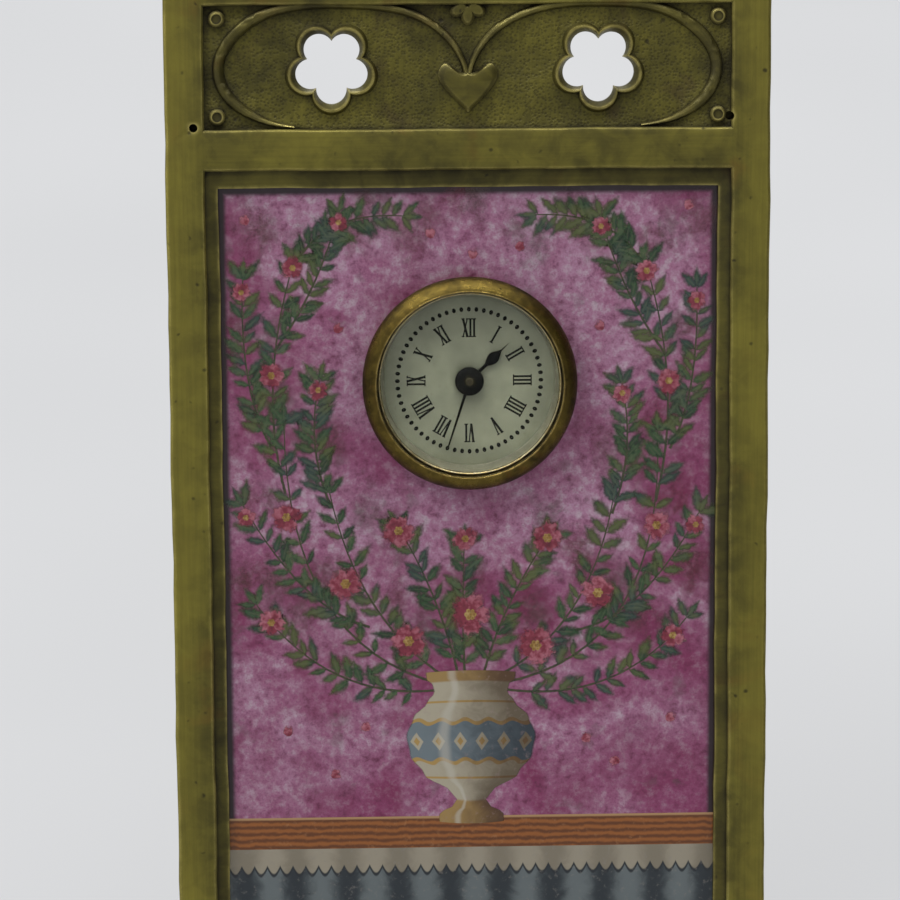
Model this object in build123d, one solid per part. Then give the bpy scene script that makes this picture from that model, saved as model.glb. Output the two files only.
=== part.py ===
"""Pendulette: a small easel clock.

A cast brass frame holds an enamelled plaque, and a drum clock is let into the plaque. Everything is drawn
in the frame's own axes, in millimetres: X across, Y back from the frame's front face, Z up the frame from
its bottom edge. At the end it is all leaned back on its strut, so that it stands on Z = 0.
"""

import os
from math import atan2, cos, degrees, hypot, pi, radians, sin, sqrt

from build123d import *

# Frame casting: one pierced crest above one window
FRAME_WIDTH = 100.0
STILE_WIDTH = 6.5
BOTTOM_RAIL = 8.5
CROSS_RAIL = 6.8
TOP_RAIL = 6.6
CREST_HEIGHT = 20.3
WINDOW_HEIGHT = 132.0
LEDGE_SIDE = 2.1
LEDGE_END = 2.9
FRAME_DEPTH = 5.6
LEDGE_DROP = 1.2
LEDGE_THICKNESS = 1.2
CREST_DROP = 1.3
CREST_FLOOR = 1.5
CREST_BACK_MARGIN = 1.5
FRAME_EDGE_ROUND = 0.6
INNER_EDGE_CHAMFER = 0.3
LEAN = 15.0

# Relief on the crest
RELIEF_HEIGHT = 1.0
RELIEF_ROOT = 0.3
FLOWER_PLACE = 0.506
FLOWER_SHIFT = -0.45
FLOWER_LOBES = 5
OPENING_LOBE_OFFSET = 3.6
OPENING_LOBE_RADIUS = 2.5
RIM_LOBE_OFFSET = 4.6
RIM_LOBE_RADIUS = 3.45
RIM_RIDGE = 0.62
RIM_RIDGE_WIDTH = 0.16
STEM_SECTIONS = 12
STEM_FACETS = 6
STEM_WIDTHS = ((0.0, 1.2), (0.12, 1.35), (0.3, 1.6), (0.5, 1.8), (0.68, 2.1), (0.84, 1.9), (1.0, 0.5))
STEM_FULL_WIDTH = 2.1
HEART_WIDTH = 9.6
HEART_HEIGHT = 8.0
HEART_BEVEL = 0.2
HEART_LINE = ((0.0, 0.7), (0.4, 0.74), (0.78, 1.0), (1.0, 0.7), (0.81, 0.0), (0.38, -0.56), (0.0, -1.0))
BUD_LENGTH = 3.4
BUD_WIDTH = 2.3
BUD_PETALS = ((0, 1.0), (-60, 0.95), (60, 0.95))
BOSS_RADIUS = 1.35
BOSS_DIMPLE = 0.8
BOSS_INSET = 2.15
NAIL_HOLE_RADIUS = 0.7
NAIL_HOLE_DEPTH = 3.6

# Plaque, packing and back plate, held by screws
PLAQUE_LAP = 1.9
PLAQUE_CLEARANCE = 0.3
PLAQUE_THICKNESS = 1.6
PLAQUE_EDGE_ROUND = 0.6
BACK_PLATE_THICKNESS = 0.8
BACK_PLATE_LAP = 3.2
SCREW_SHANK_RADIUS = 0.7
SCREW_HEAD_RADIUS = 1.3
SCREW_HEAD_HEIGHT = 0.8
SCREW_GRIP = 2.6
SCREW_SLOT = 0.4
SCREW_ROWS = 3

# Strut and its hinge
HINGE_GAP = 3.4
OPEN_ANGLE = 28.0
HINGE_WIDTH = 22.0
LEAF_THICKNESS = 0.8
LEAF_HEIGHT = 8.0
KNUCKLE_RADIUS = 1.6
HINGE_PIN_RADIUS = 0.8
STRUT_KNUCKLE = 9.6
STRUT_THICKNESS = 1.2
STRUT_TOP_WIDTH = 15.0
STRUT_FOOT_WIDTH = 32.0
STRUT_HOLE_RADIUS = 3.5
RIVET_RADIUS = 0.6
KNUCKLE_CLEARANCE = 0.3
KNUCKLE_STANDOFF = 0.1

# Clock drum: bezel, glass, dial and case
DIAL_DROP = 32.55
DRUM_RADIUS = 16.0
DRUM_WALL = 0.6
DRUM_SHOULDER = 0.5
BEZEL_RADIUS = 17.85
BEZEL_OPENING = 14.95
BEZEL_FOOT = 17.3
BEZEL_HEIGHT = 5.7
BEZEL_FALL = 2.0
BEZEL_BULGE = 0.45
BEZEL_GROOVE = 0.15
BEZEL_LIP_WIDTH = 0.35
BEZEL_LIP_HEIGHT = 0.6
GLASS_RISE = 3.6
GLASS_THICKNESS = 0.9
GLASS_DOME = 1.5
GLASS_EDGE = 0.15
SIGHT_RING_HEIGHT = 2.85
SIGHT_RING_OPENING = 14.3
DIAL_THICKNESS = 0.5
DIAL_HOLE = 1.75
MOTION_SPACE = 3.1
TRAIN_SPACE = 8.2
PLATE_THICKNESS = 1.0
BALANCE_SPACE = 6.2
CAP_THICKNESS = 0.6
CAP_SKIRT = 3.0
CLAMP_RING_WIDTH = 3.4
CLAMP_RING_DEPTH = 2.0
CLAMP_RING_NOTCHES = 8

# Movement: modules, tooth counts and the way that each wheel lies from the one before it, in degrees
BARREL_MODULE = 0.18
BARREL_TEETH = 72
CENTRE_LEAVES = 12
CENTRE_MODULE = 0.16
CENTRE_TEETH = 64
THIRD_LEAVES = 8
THIRD_MODULE = 0.14
THIRD_TEETH = 60
FOURTH_LEAVES = 8
FOURTH_MODULE = 0.13
FOURTH_TEETH = 60
ESCAPE_LEAVES = 6
CANNON_LEAVES = 12
MINUTE_WHEEL_TEETH = 36
MINUTE_LEAVES = 10
HOUR_TEETH = 40
HOUR_MODULE = 0.2
ESCAPE_TEETH = 15
ESCAPE_RADIUS = 2.4
RATCHET_TEETH = 24
RATCHET_RADIUS = 3.0
BARREL_WAY = 150.0
THIRD_WAY = 20.0
FOURTH_WAY = -60.0
ESCAPE_WAY = -150.0
LEVER_WAY = -140.0
MINUTE_WHEEL_WAY = -90.0
WHEEL_THICKNESS = 0.5
PINION_LENGTH = 0.9
PIVOT_CLEARANCE = 0.03
END_SHAKE = 0.05

# Movement: arbors, springs, escapement and the pieces that are worked by hand
CENTRE_ARBOR_RADIUS = 0.6
BARREL_ARBOR_RADIUS = 0.9
BARREL_PIVOT_RADIUS = 0.7
BARREL_CORE_RADIUS = 1.4
BARREL_RADIUS = 5.7
BARREL_WALL = 0.5
BARREL_DEPTH = 5.9
BARREL_COVER = 0.6
MAINSPRING_THICKNESS = 0.25
MAINSPRING_TURNS = 6
LEVER_DISTANCE = 3.3
BALANCE_DISTANCE = 4.2
PALLET_PIN_RADIUS = 0.15
IMPULSE_PIN_RADIUS = 0.13
IMPULSE_ORBIT = 1.15
BALANCE_RADIUS = 4.0
BALANCE_RIM = 0.7
STAFF_RADIUS = 0.5
HAIRSPRING_THICKNESS = 0.12
HAIRSPRING_TURNS = 5
HAIRSPRING_RADIUS = 2.8
SPRING_FIT = 0.02
COLLET_WALL = 0.25
STUD_SIZE = 0.6
PILLAR_RADIUS = 1.0
PILLAR_CIRCLE = 13.0
PILLAR_COUNT = 3
PILLAR_WAY = 75.0
PILLAR_TENON = 0.6
PILLAR_SCREW_RADIUS = 0.5
PILLAR_SCREW_GRIP = 2.0
SET_KNOB_RADIUS = 3.0
SET_KNOB_LENGTH = 3.2
SET_KNOB_NECK = 1.2
SET_KNOB_CAP = 0.8
SET_KNOB_FLUTES = 24
KEY_SPAN = 16.0
KEY_THICKNESS = 1.2
KEY_LENGTH = 13.0
KEY_HUB_RADIUS = 2.0
KEY_SOCKET = 2.4
KEY_FINGER_HOLE = 1.68
OUTSIDE_GAP = 0.5

# Hands, at thirty-three minutes past one
HAND_THICKNESS = 0.25
HOUR_HAND_LENGTH = 9.2
MINUTE_HAND_LENGTH = 11.9
HAND_BOSS_RADIUS = 2.4
HAND_BOSS_RISE = 0.4
HAND_HALF_WIDTH = 0.28
HAND_TIP = 0.12
HAND_SWELLING = 0.95
HOUR_ANGLE = 46.5
MINUTE_ANGLE = 198.0

# Places that follow from the sizes above
WINDOW_WIDTH = FRAME_WIDTH - 2 * (STILE_WIDTH + LEDGE_SIDE)
WINDOW_BOTTOM = BOTTOM_RAIL + LEDGE_END
WINDOW_TOP = WINDOW_BOTTOM + WINDOW_HEIGHT
WINDOW_MID = (WINDOW_BOTTOM + WINDOW_TOP) / 2
CREST_BOTTOM = WINDOW_TOP + LEDGE_END + CROSS_RAIL
CREST_MID = CREST_BOTTOM + CREST_HEIGHT / 2
FRAME_HEIGHT = CREST_BOTTOM + CREST_HEIGHT + TOP_RAIL
CREST_HALF_WIDTH = FRAME_WIDTH / 2 - STILE_WIDTH
CREST_HALF_HEIGHT = CREST_HEIGHT / 2
PLAQUE_FRONT = LEDGE_DROP + LEDGE_THICKNESS
PLAQUE_BACK = PLAQUE_FRONT + PLAQUE_THICKNESS
PLAQUE_WIDTH = WINDOW_WIDTH + 2 * PLAQUE_LAP
PLAQUE_HEIGHT = WINDOW_HEIGHT + 2 * PLAQUE_LAP
POCKET_WIDTH = PLAQUE_WIDTH + 2 * PLAQUE_CLEARANCE
POCKET_HEIGHT = PLAQUE_HEIGHT + 2 * PLAQUE_CLEARANCE
BACK_FACE = FRAME_DEPTH + BACK_PLATE_THICKNESS
DIAL_Z = WINDOW_TOP - DIAL_DROP
HINGE_HEIGHT = DIAL_Z - DRUM_RADIUS - CLAMP_RING_WIDTH - HINGE_GAP - LEAF_HEIGHT
DRUM_BORE = DRUM_RADIUS - DRUM_WALL
DRUM_FIT = 0.05
INSERT_RADIUS = DRUM_BORE - DRUM_FIT

# Depths of the clock's layers, from the front
BEZEL_FRONT = PLAQUE_FRONT - BEZEL_HEIGHT
GLASS_FRONT = PLAQUE_FRONT - GLASS_RISE
GLASS_BACK = GLASS_FRONT + GLASS_THICKNESS
DIAL_FRONT = GLASS_BACK + SIGHT_RING_HEIGHT
DIAL_BACK = DIAL_FRONT + DIAL_THICKNESS
FRONT_PLATE = DIAL_BACK + MOTION_SPACE
TRAIN_FRONT = FRONT_PLATE + PLATE_THICKNESS
REAR_PLATE = TRAIN_FRONT + TRAIN_SPACE
REAR_PLATE_BACK = REAR_PLATE + PLATE_THICKNESS
CAP_INSIDE = REAR_PLATE_BACK + BALANCE_SPACE
CAP_OUTSIDE = CAP_INSIDE + CAP_THICKNESS
OUTSIDE = CAP_OUTSIDE + OUTSIDE_GAP


def polar(radius, way, start=(0.0, 0.0)):
    """A point at a distance from another one, the way counted from +X towards +Z."""
    return (start[0] + radius * cos(radians(way)), start[1] + radius * sin(radians(way)))


# Axes of the movement, across and up from the dial's centre
CENTRE = (0.0, 0.0)
BARREL = polar(BARREL_MODULE * (BARREL_TEETH + CENTRE_LEAVES) / 2, BARREL_WAY)
THIRD = polar(CENTRE_MODULE * (CENTRE_TEETH + THIRD_LEAVES) / 2, THIRD_WAY)
FOURTH = polar(THIRD_MODULE * (THIRD_TEETH + FOURTH_LEAVES) / 2, FOURTH_WAY, THIRD)
ESCAPE = polar(FOURTH_MODULE * (FOURTH_TEETH + ESCAPE_LEAVES) / 2, ESCAPE_WAY, FOURTH)
LEVER = polar(LEVER_DISTANCE, LEVER_WAY, ESCAPE)
BALANCE = polar(BALANCE_DISTANCE, LEVER_WAY, LEVER)
MINUTE_DISTANCE = HOUR_MODULE * (HOUR_TEETH + MINUTE_LEAVES) / 2
MINUTE_MODULE = 2 * MINUTE_DISTANCE / (CANNON_LEAVES + MINUTE_WHEEL_TEETH)
MINUTE_WHEEL = polar(MINUTE_DISTANCE, MINUTE_WHEEL_WAY)
PILLARS = [polar(PILLAR_CIRCLE, PILLAR_WAY + 360 / PILLAR_COUNT * n) for n in range(PILLAR_COUNT)]
HINGE_Y = BACK_FACE + KNUCKLE_RADIUS + KNUCKLE_STANDOFF

# Tooth forms: heights in modules, widths as shares of the pitch
WHEEL_FORM = {"addendum": 1.0, "dedendum": 1.3, "root": 0.62, "tip": 0.18}
LEAF_FORM = {"addendum": 0.7, "dedendum": 1.3, "root": 0.5, "tip": 0.16}
FLUTE_FORM = {"addendum": 0.5, "dedendum": 0.1, "root": 0.8, "tip": 0.4}


def slab(outline, front, back):
    """A flat piece with the given outline, seen from the front, between two depths."""
    return extrude(Plane.XZ.offset(-back) * outline, amount=back - front)


def rod(radius, front, back, at=(0.0, 0.0)):
    return slab(Pos(*at) * Circle(radius), front, back)


def tube(outer, inner, front, back, at=(0.0, 0.0)):
    return slab(Pos(*at) * (Circle(outer) - Circle(inner)), front, back)


def turned(section):
    """A round piece about the dial's axis, from its half section drawn as radius and depth."""
    return revolve(section, Axis.Y)


def in_clock(piece):
    """Moves a piece from the dial's centre to its place on the frame."""
    return Pos(0, 0, DIAL_Z) * piece


# Frame casting


def at_depth(outline, depth):
    """An outline seen from the front, laid at one depth."""
    return Plane.XZ.offset(-depth) * outline


def flower(share):
    """Five round lobes, one of them pointing down, from the opening's size (0) to the rim's foot (1)."""
    offset = OPENING_LOBE_OFFSET + share * (RIM_LOBE_OFFSET - OPENING_LOBE_OFFSET)
    radius = OPENING_LOBE_RADIUS + share * (RIM_LOBE_RADIUS - OPENING_LOBE_RADIUS)
    step = 360 / FLOWER_LOBES
    across = offset * sin(radians(step / 2))
    notch = offset * cos(radians(step / 2)) + sqrt(radius**2 - across**2)
    lobes = []
    for lobe in range(FLOWER_LOBES):
        way = step * lobe - 90
        ends = polar(notch, way - step / 2), polar(notch, way + step / 2)
        lobes.append(ThreePointArc(ends[0], polar(offset + radius, way), ends[1]))
    return make_face(lobes)


def on_crest(x_share, z_share):
    """A point on the crest, as shares of its half width and half height."""
    return Vector(x_share * CREST_HALF_WIDTH, CREST_DROP, CREST_MID + z_share * CREST_HALF_HEIGHT)


def stem(side):
    """One whiplash stem: it leaves the heart, sweeps round the flower and runs out along the lower edge."""
    shares = [(0.006, -0.1), (0.016, 0.14), (0.062, 0.4), (0.157, 0.74), (0.32, 0.97), (0.506, 1.02)]
    shares += [(0.69, 0.96), (0.865, 0.6), (0.945, 0.0), (0.89, -0.56), (0.75, -0.9), (0.66, -0.97)]
    path = Spline(*[on_crest(side * x, z) for x, z in shares])
    sections = []
    for number in range(STEM_SECTIONS + 1):
        place = number / STEM_SECTIONS
        half = stem_width(place) / 2
        along = (path % place).normalized()
        across = Vector(0, -1, 0).cross(along)
        plane = Plane(path @ place, x_dir=across, z_dir=along)
        top = RELIEF_HEIGHT * min(1, 0.55 + half / STEM_FULL_WIDTH)
        turns = [pi * facet / STEM_FACETS for facet in range(STEM_FACETS + 1)]
        corners = [(half * cos(turn), top * sin(turn)) for turn in turns]
        corners += [(-half, -RELIEF_ROOT), (half, -RELIEF_ROOT)]
        sections.append(plane * make_face(Polyline(*corners, close=True)))
    return loft(sections)


def stem_width(place):
    """A stem's width at a share of its length, between the shares where it is given."""
    for (low, thin), (high, thick) in zip(STEM_WIDTHS, STEM_WIDTHS[1:]):
        if place <= high:
            return thin + (thick - thin) * (place - low) / (high - low)


def heart_outline(scale):
    """A leaf with two small ears above a point, drawn about the heart's middle."""
    half, top = scale * HEART_WIDTH / 2, scale * HEART_HEIGHT / 2
    right = Spline(*[(half * x, top * z) for x, z in HEART_LINE])
    left = mirror(right, Plane.YZ)
    return make_face([*right.edges(), *left.edges()])


def heart():
    """The heart-shaped leaf that the two stems grow from."""
    shoulder, top = CREST_DROP - RELIEF_HEIGHT / 2, CREST_DROP - RELIEF_HEIGHT
    at = Pos(0, CREST_MID - HEART_HEIGHT * 0.44)
    leaf = slab(at * heart_outline(1), shoulder, CREST_DROP + RELIEF_ROOT)
    low, high = at_depth(at * heart_outline(1), shoulder), at_depth(at * heart_outline(1 - HEART_BEVEL), top)
    return leaf + loft([low, high], ruled=True)


def bud():
    """The hanging bud in the middle of the crest's upper edge: one petal between two shorter ones."""
    top = Pos(0, CREST_MID + CREST_HALF_HEIGHT)
    front = CREST_DROP - RELIEF_HEIGHT
    petals = []
    for lean, length in BUD_PETALS:
        petal = Pos(0, -BUD_LENGTH * length / 2) * Ellipse(BUD_WIDTH / 2, BUD_LENGTH * length / 2)
        raised = slab(top * Rot(0, 0, lean) * petal, front, CREST_DROP + RELIEF_ROOT)
        petals.append(chamfer(front_edges(raised, front), BUD_WIDTH / 5))
    return petals


def boss(x_side, z_side):
    """A small dimpled boss in one corner of the crest."""
    at = (x_side * (CREST_HALF_WIDTH - BOSS_INSET), CREST_MID + z_side * (CREST_HALF_HEIGHT - BOSS_INSET))
    raised = rod(BOSS_RADIUS, CREST_DROP - RELIEF_HEIGHT, CREST_DROP + RELIEF_ROOT, at)
    raised = chamfer(front_edges(raised, CREST_DROP - RELIEF_HEIGHT), BOSS_RADIUS / 4)
    return raised - rod(BOSS_DIMPLE, CREST_DROP - RELIEF_HEIGHT, CREST_DROP - RELIEF_HEIGHT * 0.7, at)


def flower_places():
    return [(side * FLOWER_PLACE * CREST_HALF_WIDTH + FLOWER_SHIFT, CREST_MID) for side in (-1, 1)]


def flower_rim(at):
    """The raised edge of a flower opening, steep on its outside and still solid."""
    ridge = at_depth(Pos(*at) * flower(RIM_RIDGE), CREST_DROP - RELIEF_HEIGHT)
    foot = at_depth(Pos(*at) * flower(1), CREST_DROP + RELIEF_ROOT)
    return loft([foot, ridge], ruled=True)


def flower_opening(at, past):
    """What is cut out of a rim: a slope that falls from its ridge, and the opening itself."""
    floor = CREST_DROP + RELIEF_ROOT
    ridge = at_depth(Pos(*at) * flower(RIM_RIDGE - RIM_RIDGE_WIDTH), CREST_DROP - RELIEF_HEIGHT)
    foot = at_depth(Pos(*at) * flower(0), floor)
    return loft([foot, ridge], ruled=True) + slab(Pos(*at) * flower(0), floor, past)


def front_edges(piece, depth):
    return piece.edges().filter_by_position(Axis.Y, depth - 0.01, depth + 0.01)


def screw_places():
    """Where the back plate's screws go: a column on each side."""
    across = (POCKET_WIDTH + BACK_PLATE_LAP) / 2
    rise = (POCKET_HEIGHT - 2 * SCREW_HEAD_RADIUS) / (SCREW_ROWS - 1)
    low = WINDOW_MID - rise * (SCREW_ROWS - 1) / 2
    return [(side * across, low + rise * row) for side in (-1, 1) for row in range(SCREW_ROWS)]


def frame_casting():
    past = FRAME_DEPTH + 1
    body = slab(Pos(0, FRAME_HEIGHT / 2) * Rectangle(FRAME_WIDTH, FRAME_HEIGHT), 0, FRAME_DEPTH)
    body = fillet(front_edges(body, 0), FRAME_EDGE_ROUND)
    crest = Pos(0, CREST_MID) * Rectangle(2 * CREST_HALF_WIDTH, CREST_HEIGHT)
    step = Pos(0, WINDOW_MID) * Rectangle(WINDOW_WIDTH + 2 * LEDGE_SIDE, WINDOW_HEIGHT + 2 * LEDGE_END)
    body -= slab(crest, -1, CREST_DROP)
    body -= slab(step, -1, LEDGE_DROP)
    inner = [edge for edge in front_edges(body, 0) if abs((edge @ 0.5).X) < CREST_HALF_WIDTH + 0.01
             and BOTTOM_RAIL - 0.01 < (edge @ 0.5).Z < FRAME_HEIGHT - TOP_RAIL + 0.01]
    body = chamfer(inner, INNER_EDGE_CHAMFER)
    body -= slab(Pos(0, WINDOW_MID) * Rectangle(WINDOW_WIDTH, WINDOW_HEIGHT), -1, past)
    body -= slab(Pos(0, WINDOW_MID) * Rectangle(POCKET_WIDTH, POCKET_HEIGHT), PLAQUE_FRONT, past)
    hollow = Rectangle(2 * (CREST_HALF_WIDTH - CREST_BACK_MARGIN), CREST_HEIGHT - 2 * CREST_BACK_MARGIN)
    body -= slab(Pos(0, CREST_MID) * hollow, CREST_DROP + CREST_FLOOR, past)
    body += [stem(-1), stem(1), heart(), *bud(), *[flower_rim(at) for at in flower_places()]]
    body += [boss(x_side, z_side) for x_side in (-1, 1) for z_side in (-1, 1)]
    for at in flower_places():
        body -= flower_opening(at, past)
    left_nail = (-CREST_HALF_WIDTH - 1.8, CREST_BOTTOM + 0.4)
    right_nail = (CREST_HALF_WIDTH - 0.2, CREST_BOTTOM + 1.8)
    for at in (left_nail, right_nail):
        body -= rod(NAIL_HOLE_RADIUS, -1, NAIL_HOLE_DEPTH, at)
    for at in screw_places():
        body -= rod(SCREW_SHANK_RADIUS, FRAME_DEPTH - SCREW_GRIP, past, at)
    return body - below_table()


def below_table():
    """Everything under the surface that the leaning frame stands on, in the frame's own axes."""
    deep = 2 * FRAME_HEIGHT
    return Rot(LEAN, 0, 0) * Pos(0, 0, -deep / 2) * Box(deep, deep, deep)


# Plaque and back


def drum_hole():
    return Pos(0, DIAL_Z) * Circle(DRUM_RADIUS + DRUM_FIT)


def enamel_plaque():
    sheet = slab(Pos(0, WINDOW_MID) * Rectangle(PLAQUE_WIDTH, PLAQUE_HEIGHT), PLAQUE_FRONT, PLAQUE_BACK)
    sheet = fillet(front_edges(sheet, PLAQUE_FRONT), PLAQUE_EDGE_ROUND)
    return sheet - slab(drum_hole(), PLAQUE_FRONT - 1, PLAQUE_BACK + 1)


def packing_board():
    outline = Pos(0, WINDOW_MID) * Rectangle(PLAQUE_WIDTH, PLAQUE_HEIGHT) - drum_hole()
    return slab(outline, PLAQUE_BACK, FRAME_DEPTH)


def back_plate():
    size = (POCKET_WIDTH + 2 * BACK_PLATE_LAP, POCKET_HEIGHT + 2 * BACK_PLATE_LAP)
    outline = Pos(0, WINDOW_MID) * RectangleRounded(*size, BACK_PLATE_LAP / 2) - drum_hole()
    for at in screw_places():
        outline -= Pos(*at) * Circle(SCREW_SHANK_RADIUS + PIVOT_CLEARANCE)
    for at in rivet_places():
        outline -= Pos(*at) * Circle(RIVET_RADIUS + PIVOT_CLEARANCE)
    return slab(outline, FRAME_DEPTH, BACK_FACE)


def slotted_screw(at, seat, grip, shank, head, height):
    """A cheese-head screw driven in from the back."""
    body = rod(shank, seat - grip, seat, at) + rod(head, seat, seat + height, at)
    return body - slab(Pos(*at) * Rectangle(2 * head + 1, SCREW_SLOT), seat + height / 2, seat + height + 1)


def back_plate_screws():
    grip = BACK_PLATE_THICKNESS + SCREW_GRIP - END_SHAKE
    sizes = (BACK_FACE, grip, SCREW_SHANK_RADIUS - PIVOT_CLEARANCE, SCREW_HEAD_RADIUS, SCREW_HEAD_HEIGHT)
    return [slotted_screw(at, *sizes) for at in screw_places()]


# Strut and hinge


def knuckle(low, high):
    """A rolled knuckle round the hinge pin, between two places across the frame."""
    ring = Circle(KNUCKLE_RADIUS) - Circle(HINGE_PIN_RADIUS + PIVOT_CLEARANCE)
    return Pos(0, HINGE_Y, HINGE_HEIGHT) * extrude(Plane.YZ.offset(low) * ring, amount=high - low)


def pin_bore():
    """The hole for the hinge pin, right across the hinge."""
    hole = Plane.YZ.offset(-HINGE_WIDTH / 2) * Circle(HINGE_PIN_RADIUS + PIVOT_CLEARANCE)
    return Pos(0, HINGE_Y, HINGE_HEIGHT) * extrude(hole, amount=HINGE_WIDTH)


def rivet_places():
    across = (HINGE_WIDTH + STRUT_KNUCKLE) / 4
    return [(side * across, HINGE_HEIGHT + LEAF_HEIGHT * 0.65) for side in (-1, 1)]


def hinge_leaf():
    """The fixed leaf: two knuckles, joined above the gap that the strut's heel swings through."""
    half, gap = HINGE_WIDTH / 2, STRUT_KNUCKLE / 2 + KNUCKLE_CLEARANCE
    outline = Pos(0, HINGE_HEIGHT + LEAF_HEIGHT / 2) * Rectangle(HINGE_WIDTH, LEAF_HEIGHT)
    outline -= Pos(0, HINGE_HEIGHT + LEAF_HEIGHT / 4) * Rectangle(2 * gap, LEAF_HEIGHT / 2)
    for at in rivet_places():
        outline -= Pos(*at) * Circle(RIVET_RADIUS + PIVOT_CLEARANCE)
    leaf = slab(outline, BACK_FACE, BACK_FACE + LEAF_THICKNESS)
    leaf += [knuckle(-half, -gap), knuckle(gap, half)]
    return leaf - pin_bore()


def hinge_rivets():
    head = BACK_FACE + LEAF_THICKNESS
    rivets = []
    for at in rivet_places():
        shank = rod(RIVET_RADIUS, FRAME_DEPTH, head, at)
        rivets.append(shank + rod(1.8 * RIVET_RADIUS, head, head + RIVET_RADIUS, at))
    return rivets


def hinge_pin():
    half = HINGE_WIDTH / 2 + KNUCKLE_CLEARANCE
    pin = extrude(Plane.YZ.offset(-half) * Circle(HINGE_PIN_RADIUS), amount=2 * half)
    return Pos(0, HINGE_Y, HINGE_HEIGHT) * pin


def strut_leg():
    """The folding leg. Its heel stops against the back plate when the leg is open."""
    half = STRUT_THICKNESS / 2
    swing = radians(OPEN_ANGLE)
    heel = (HINGE_Y - BACK_FACE - END_SHAKE - half * cos(swing)) / sin(swing)
    reach = HINGE_HEIGHT + half
    corners = [(-STRUT_TOP_WIDTH / 2, 0), (STRUT_TOP_WIDTH / 2, 0), (STRUT_FOOT_WIDTH / 2, -reach),
               (-STRUT_FOOT_WIDTH / 2, -reach)]
    outline = make_face(Polyline(*corners, close=True))
    outline -= Pos(0, -reach * 0.3) * Circle(STRUT_HOLE_RADIUS)
    neck = KNUCKLE_RADIUS + 0.4
    for side in (-1, 1):
        shoulder = (STRUT_TOP_WIDTH - STRUT_KNUCKLE) / 2 + 1
        outline -= Pos(side * (STRUT_KNUCKLE + shoulder) / 2, 0) * Rectangle(shoulder, 2 * neck)
    outline += Pos(0, heel / 2) * Rectangle(STRUT_KNUCKLE, heel)
    leg = slab(Pos(0, HINGE_HEIGHT) * outline, HINGE_Y - half, HINGE_Y + half)
    leg += knuckle(-STRUT_KNUCKLE / 2, STRUT_KNUCKLE / 2)
    leg -= pin_bore()
    pivot = Pos(0, HINGE_Y, HINGE_HEIGHT)
    opened = pivot * Rot(OPEN_ANGLE, 0, 0) * pivot.inverse() * leg
    return opened - below_table()


# Clock case, glass and dial


def bezel():
    """A ring that rounds off outwards from a high inner edge, with a narrow lip that keeps the glass in."""
    outside, ridge = BEZEL_RADIUS, BEZEL_OPENING + BEZEL_LIP_WIDTH
    inside = ridge + BEZEL_GROOVE
    lip = GLASS_FRONT - BEZEL_LIP_HEIGHT
    groove = (lip + GLASS_FRONT) / 2
    widest = BEZEL_FRONT + BEZEL_FALL
    fit = DRUM_RADIUS + DRUM_FIT
    slope = BEZEL_LIP_WIDTH / 3
    bulge = BEZEL_BULGE / sqrt((outside - inside) ** 2 + BEZEL_FALL**2)
    swell = (inside + outside) / 2 + bulge * BEZEL_FALL, (BEZEL_FRONT + widest) / 2 - bulge * (outside - inside)
    section = Polyline((BEZEL_OPENING, GLASS_FRONT), (BEZEL_OPENING, groove), (BEZEL_OPENING + slope, lip),
                       (ridge - slope, lip), (ridge, groove), (inside, groove), (inside, BEZEL_FRONT))
    section += ThreePointArc((inside, BEZEL_FRONT), swell, (outside, widest))
    section += Polyline((outside, widest), (BEZEL_FOOT, PLAQUE_FRONT), (fit, PLAQUE_FRONT), (fit, GLASS_FRONT),
                        (BEZEL_OPENING, GLASS_FRONT))
    return turned(make_face(section))


def crystal():
    """The domed glass, flat at its edge."""
    seat = BEZEL_OPENING - GLASS_EDGE
    front, back = GLASS_FRONT - GLASS_DOME, GLASS_BACK - GLASS_DOME
    section = TangentArc((0, front), (seat, GLASS_FRONT), tangent=(1, 0))
    section += Polyline((seat, GLASS_FRONT), (INSERT_RADIUS, GLASS_FRONT), (INSERT_RADIUS, GLASS_BACK),
                        (seat, GLASS_BACK))
    section += TangentArc((0, back), (seat, GLASS_BACK), tangent=(1, 0))
    section += Line((0, back), (0, front))
    return turned(make_face(section))


def sight_ring():
    """The sloping bright ring between the glass and the dial."""
    section = Polyline((BEZEL_OPENING, GLASS_BACK), (INSERT_RADIUS, GLASS_BACK), (INSERT_RADIUS, DIAL_FRONT),
                       (SIGHT_RING_OPENING, DIAL_FRONT), close=True)
    return turned(make_face(section))


def dial():
    return tube(INSERT_RADIUS, DIAL_HOLE, DIAL_FRONT, DIAL_BACK)


def dial_spacer():
    return tube(INSERT_RADIUS, INSERT_RADIUS - 0.9, DIAL_BACK, FRONT_PLATE)


def drum_case():
    shell = tube(DRUM_RADIUS, DRUM_BORE, GLASS_FRONT + DRUM_FIT, CAP_INSIDE)
    shoulder = DRUM_BORE - DRUM_SHOULDER
    return shell + tube(DRUM_BORE + DRUM_WALL / 2, shoulder, TRAIN_FRONT, TRAIN_FRONT + DRUM_WALL)


def rear_cap():
    """The snap-on back, with holes for the two arbors and a slot for the regulator."""
    fit = DRUM_RADIUS + DRUM_FIT
    cap = rod(fit + CAP_THICKNESS, CAP_INSIDE, CAP_OUTSIDE)
    cap += tube(fit + CAP_THICKNESS, fit, CAP_INSIDE - CAP_SKIRT, CAP_INSIDE)
    cap -= rod(CENTRE_ARBOR_RADIUS + 0.4, CAP_INSIDE - 1, CAP_OUTSIDE + 1)
    cap -= rod(BARREL_ARBOR_RADIUS + 0.4, CAP_INSIDE - 1, CAP_OUTSIDE + 1, BARREL)
    return cap - slab(regulator_slot(), CAP_INSIDE - 1, CAP_OUTSIDE + 1)


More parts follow.
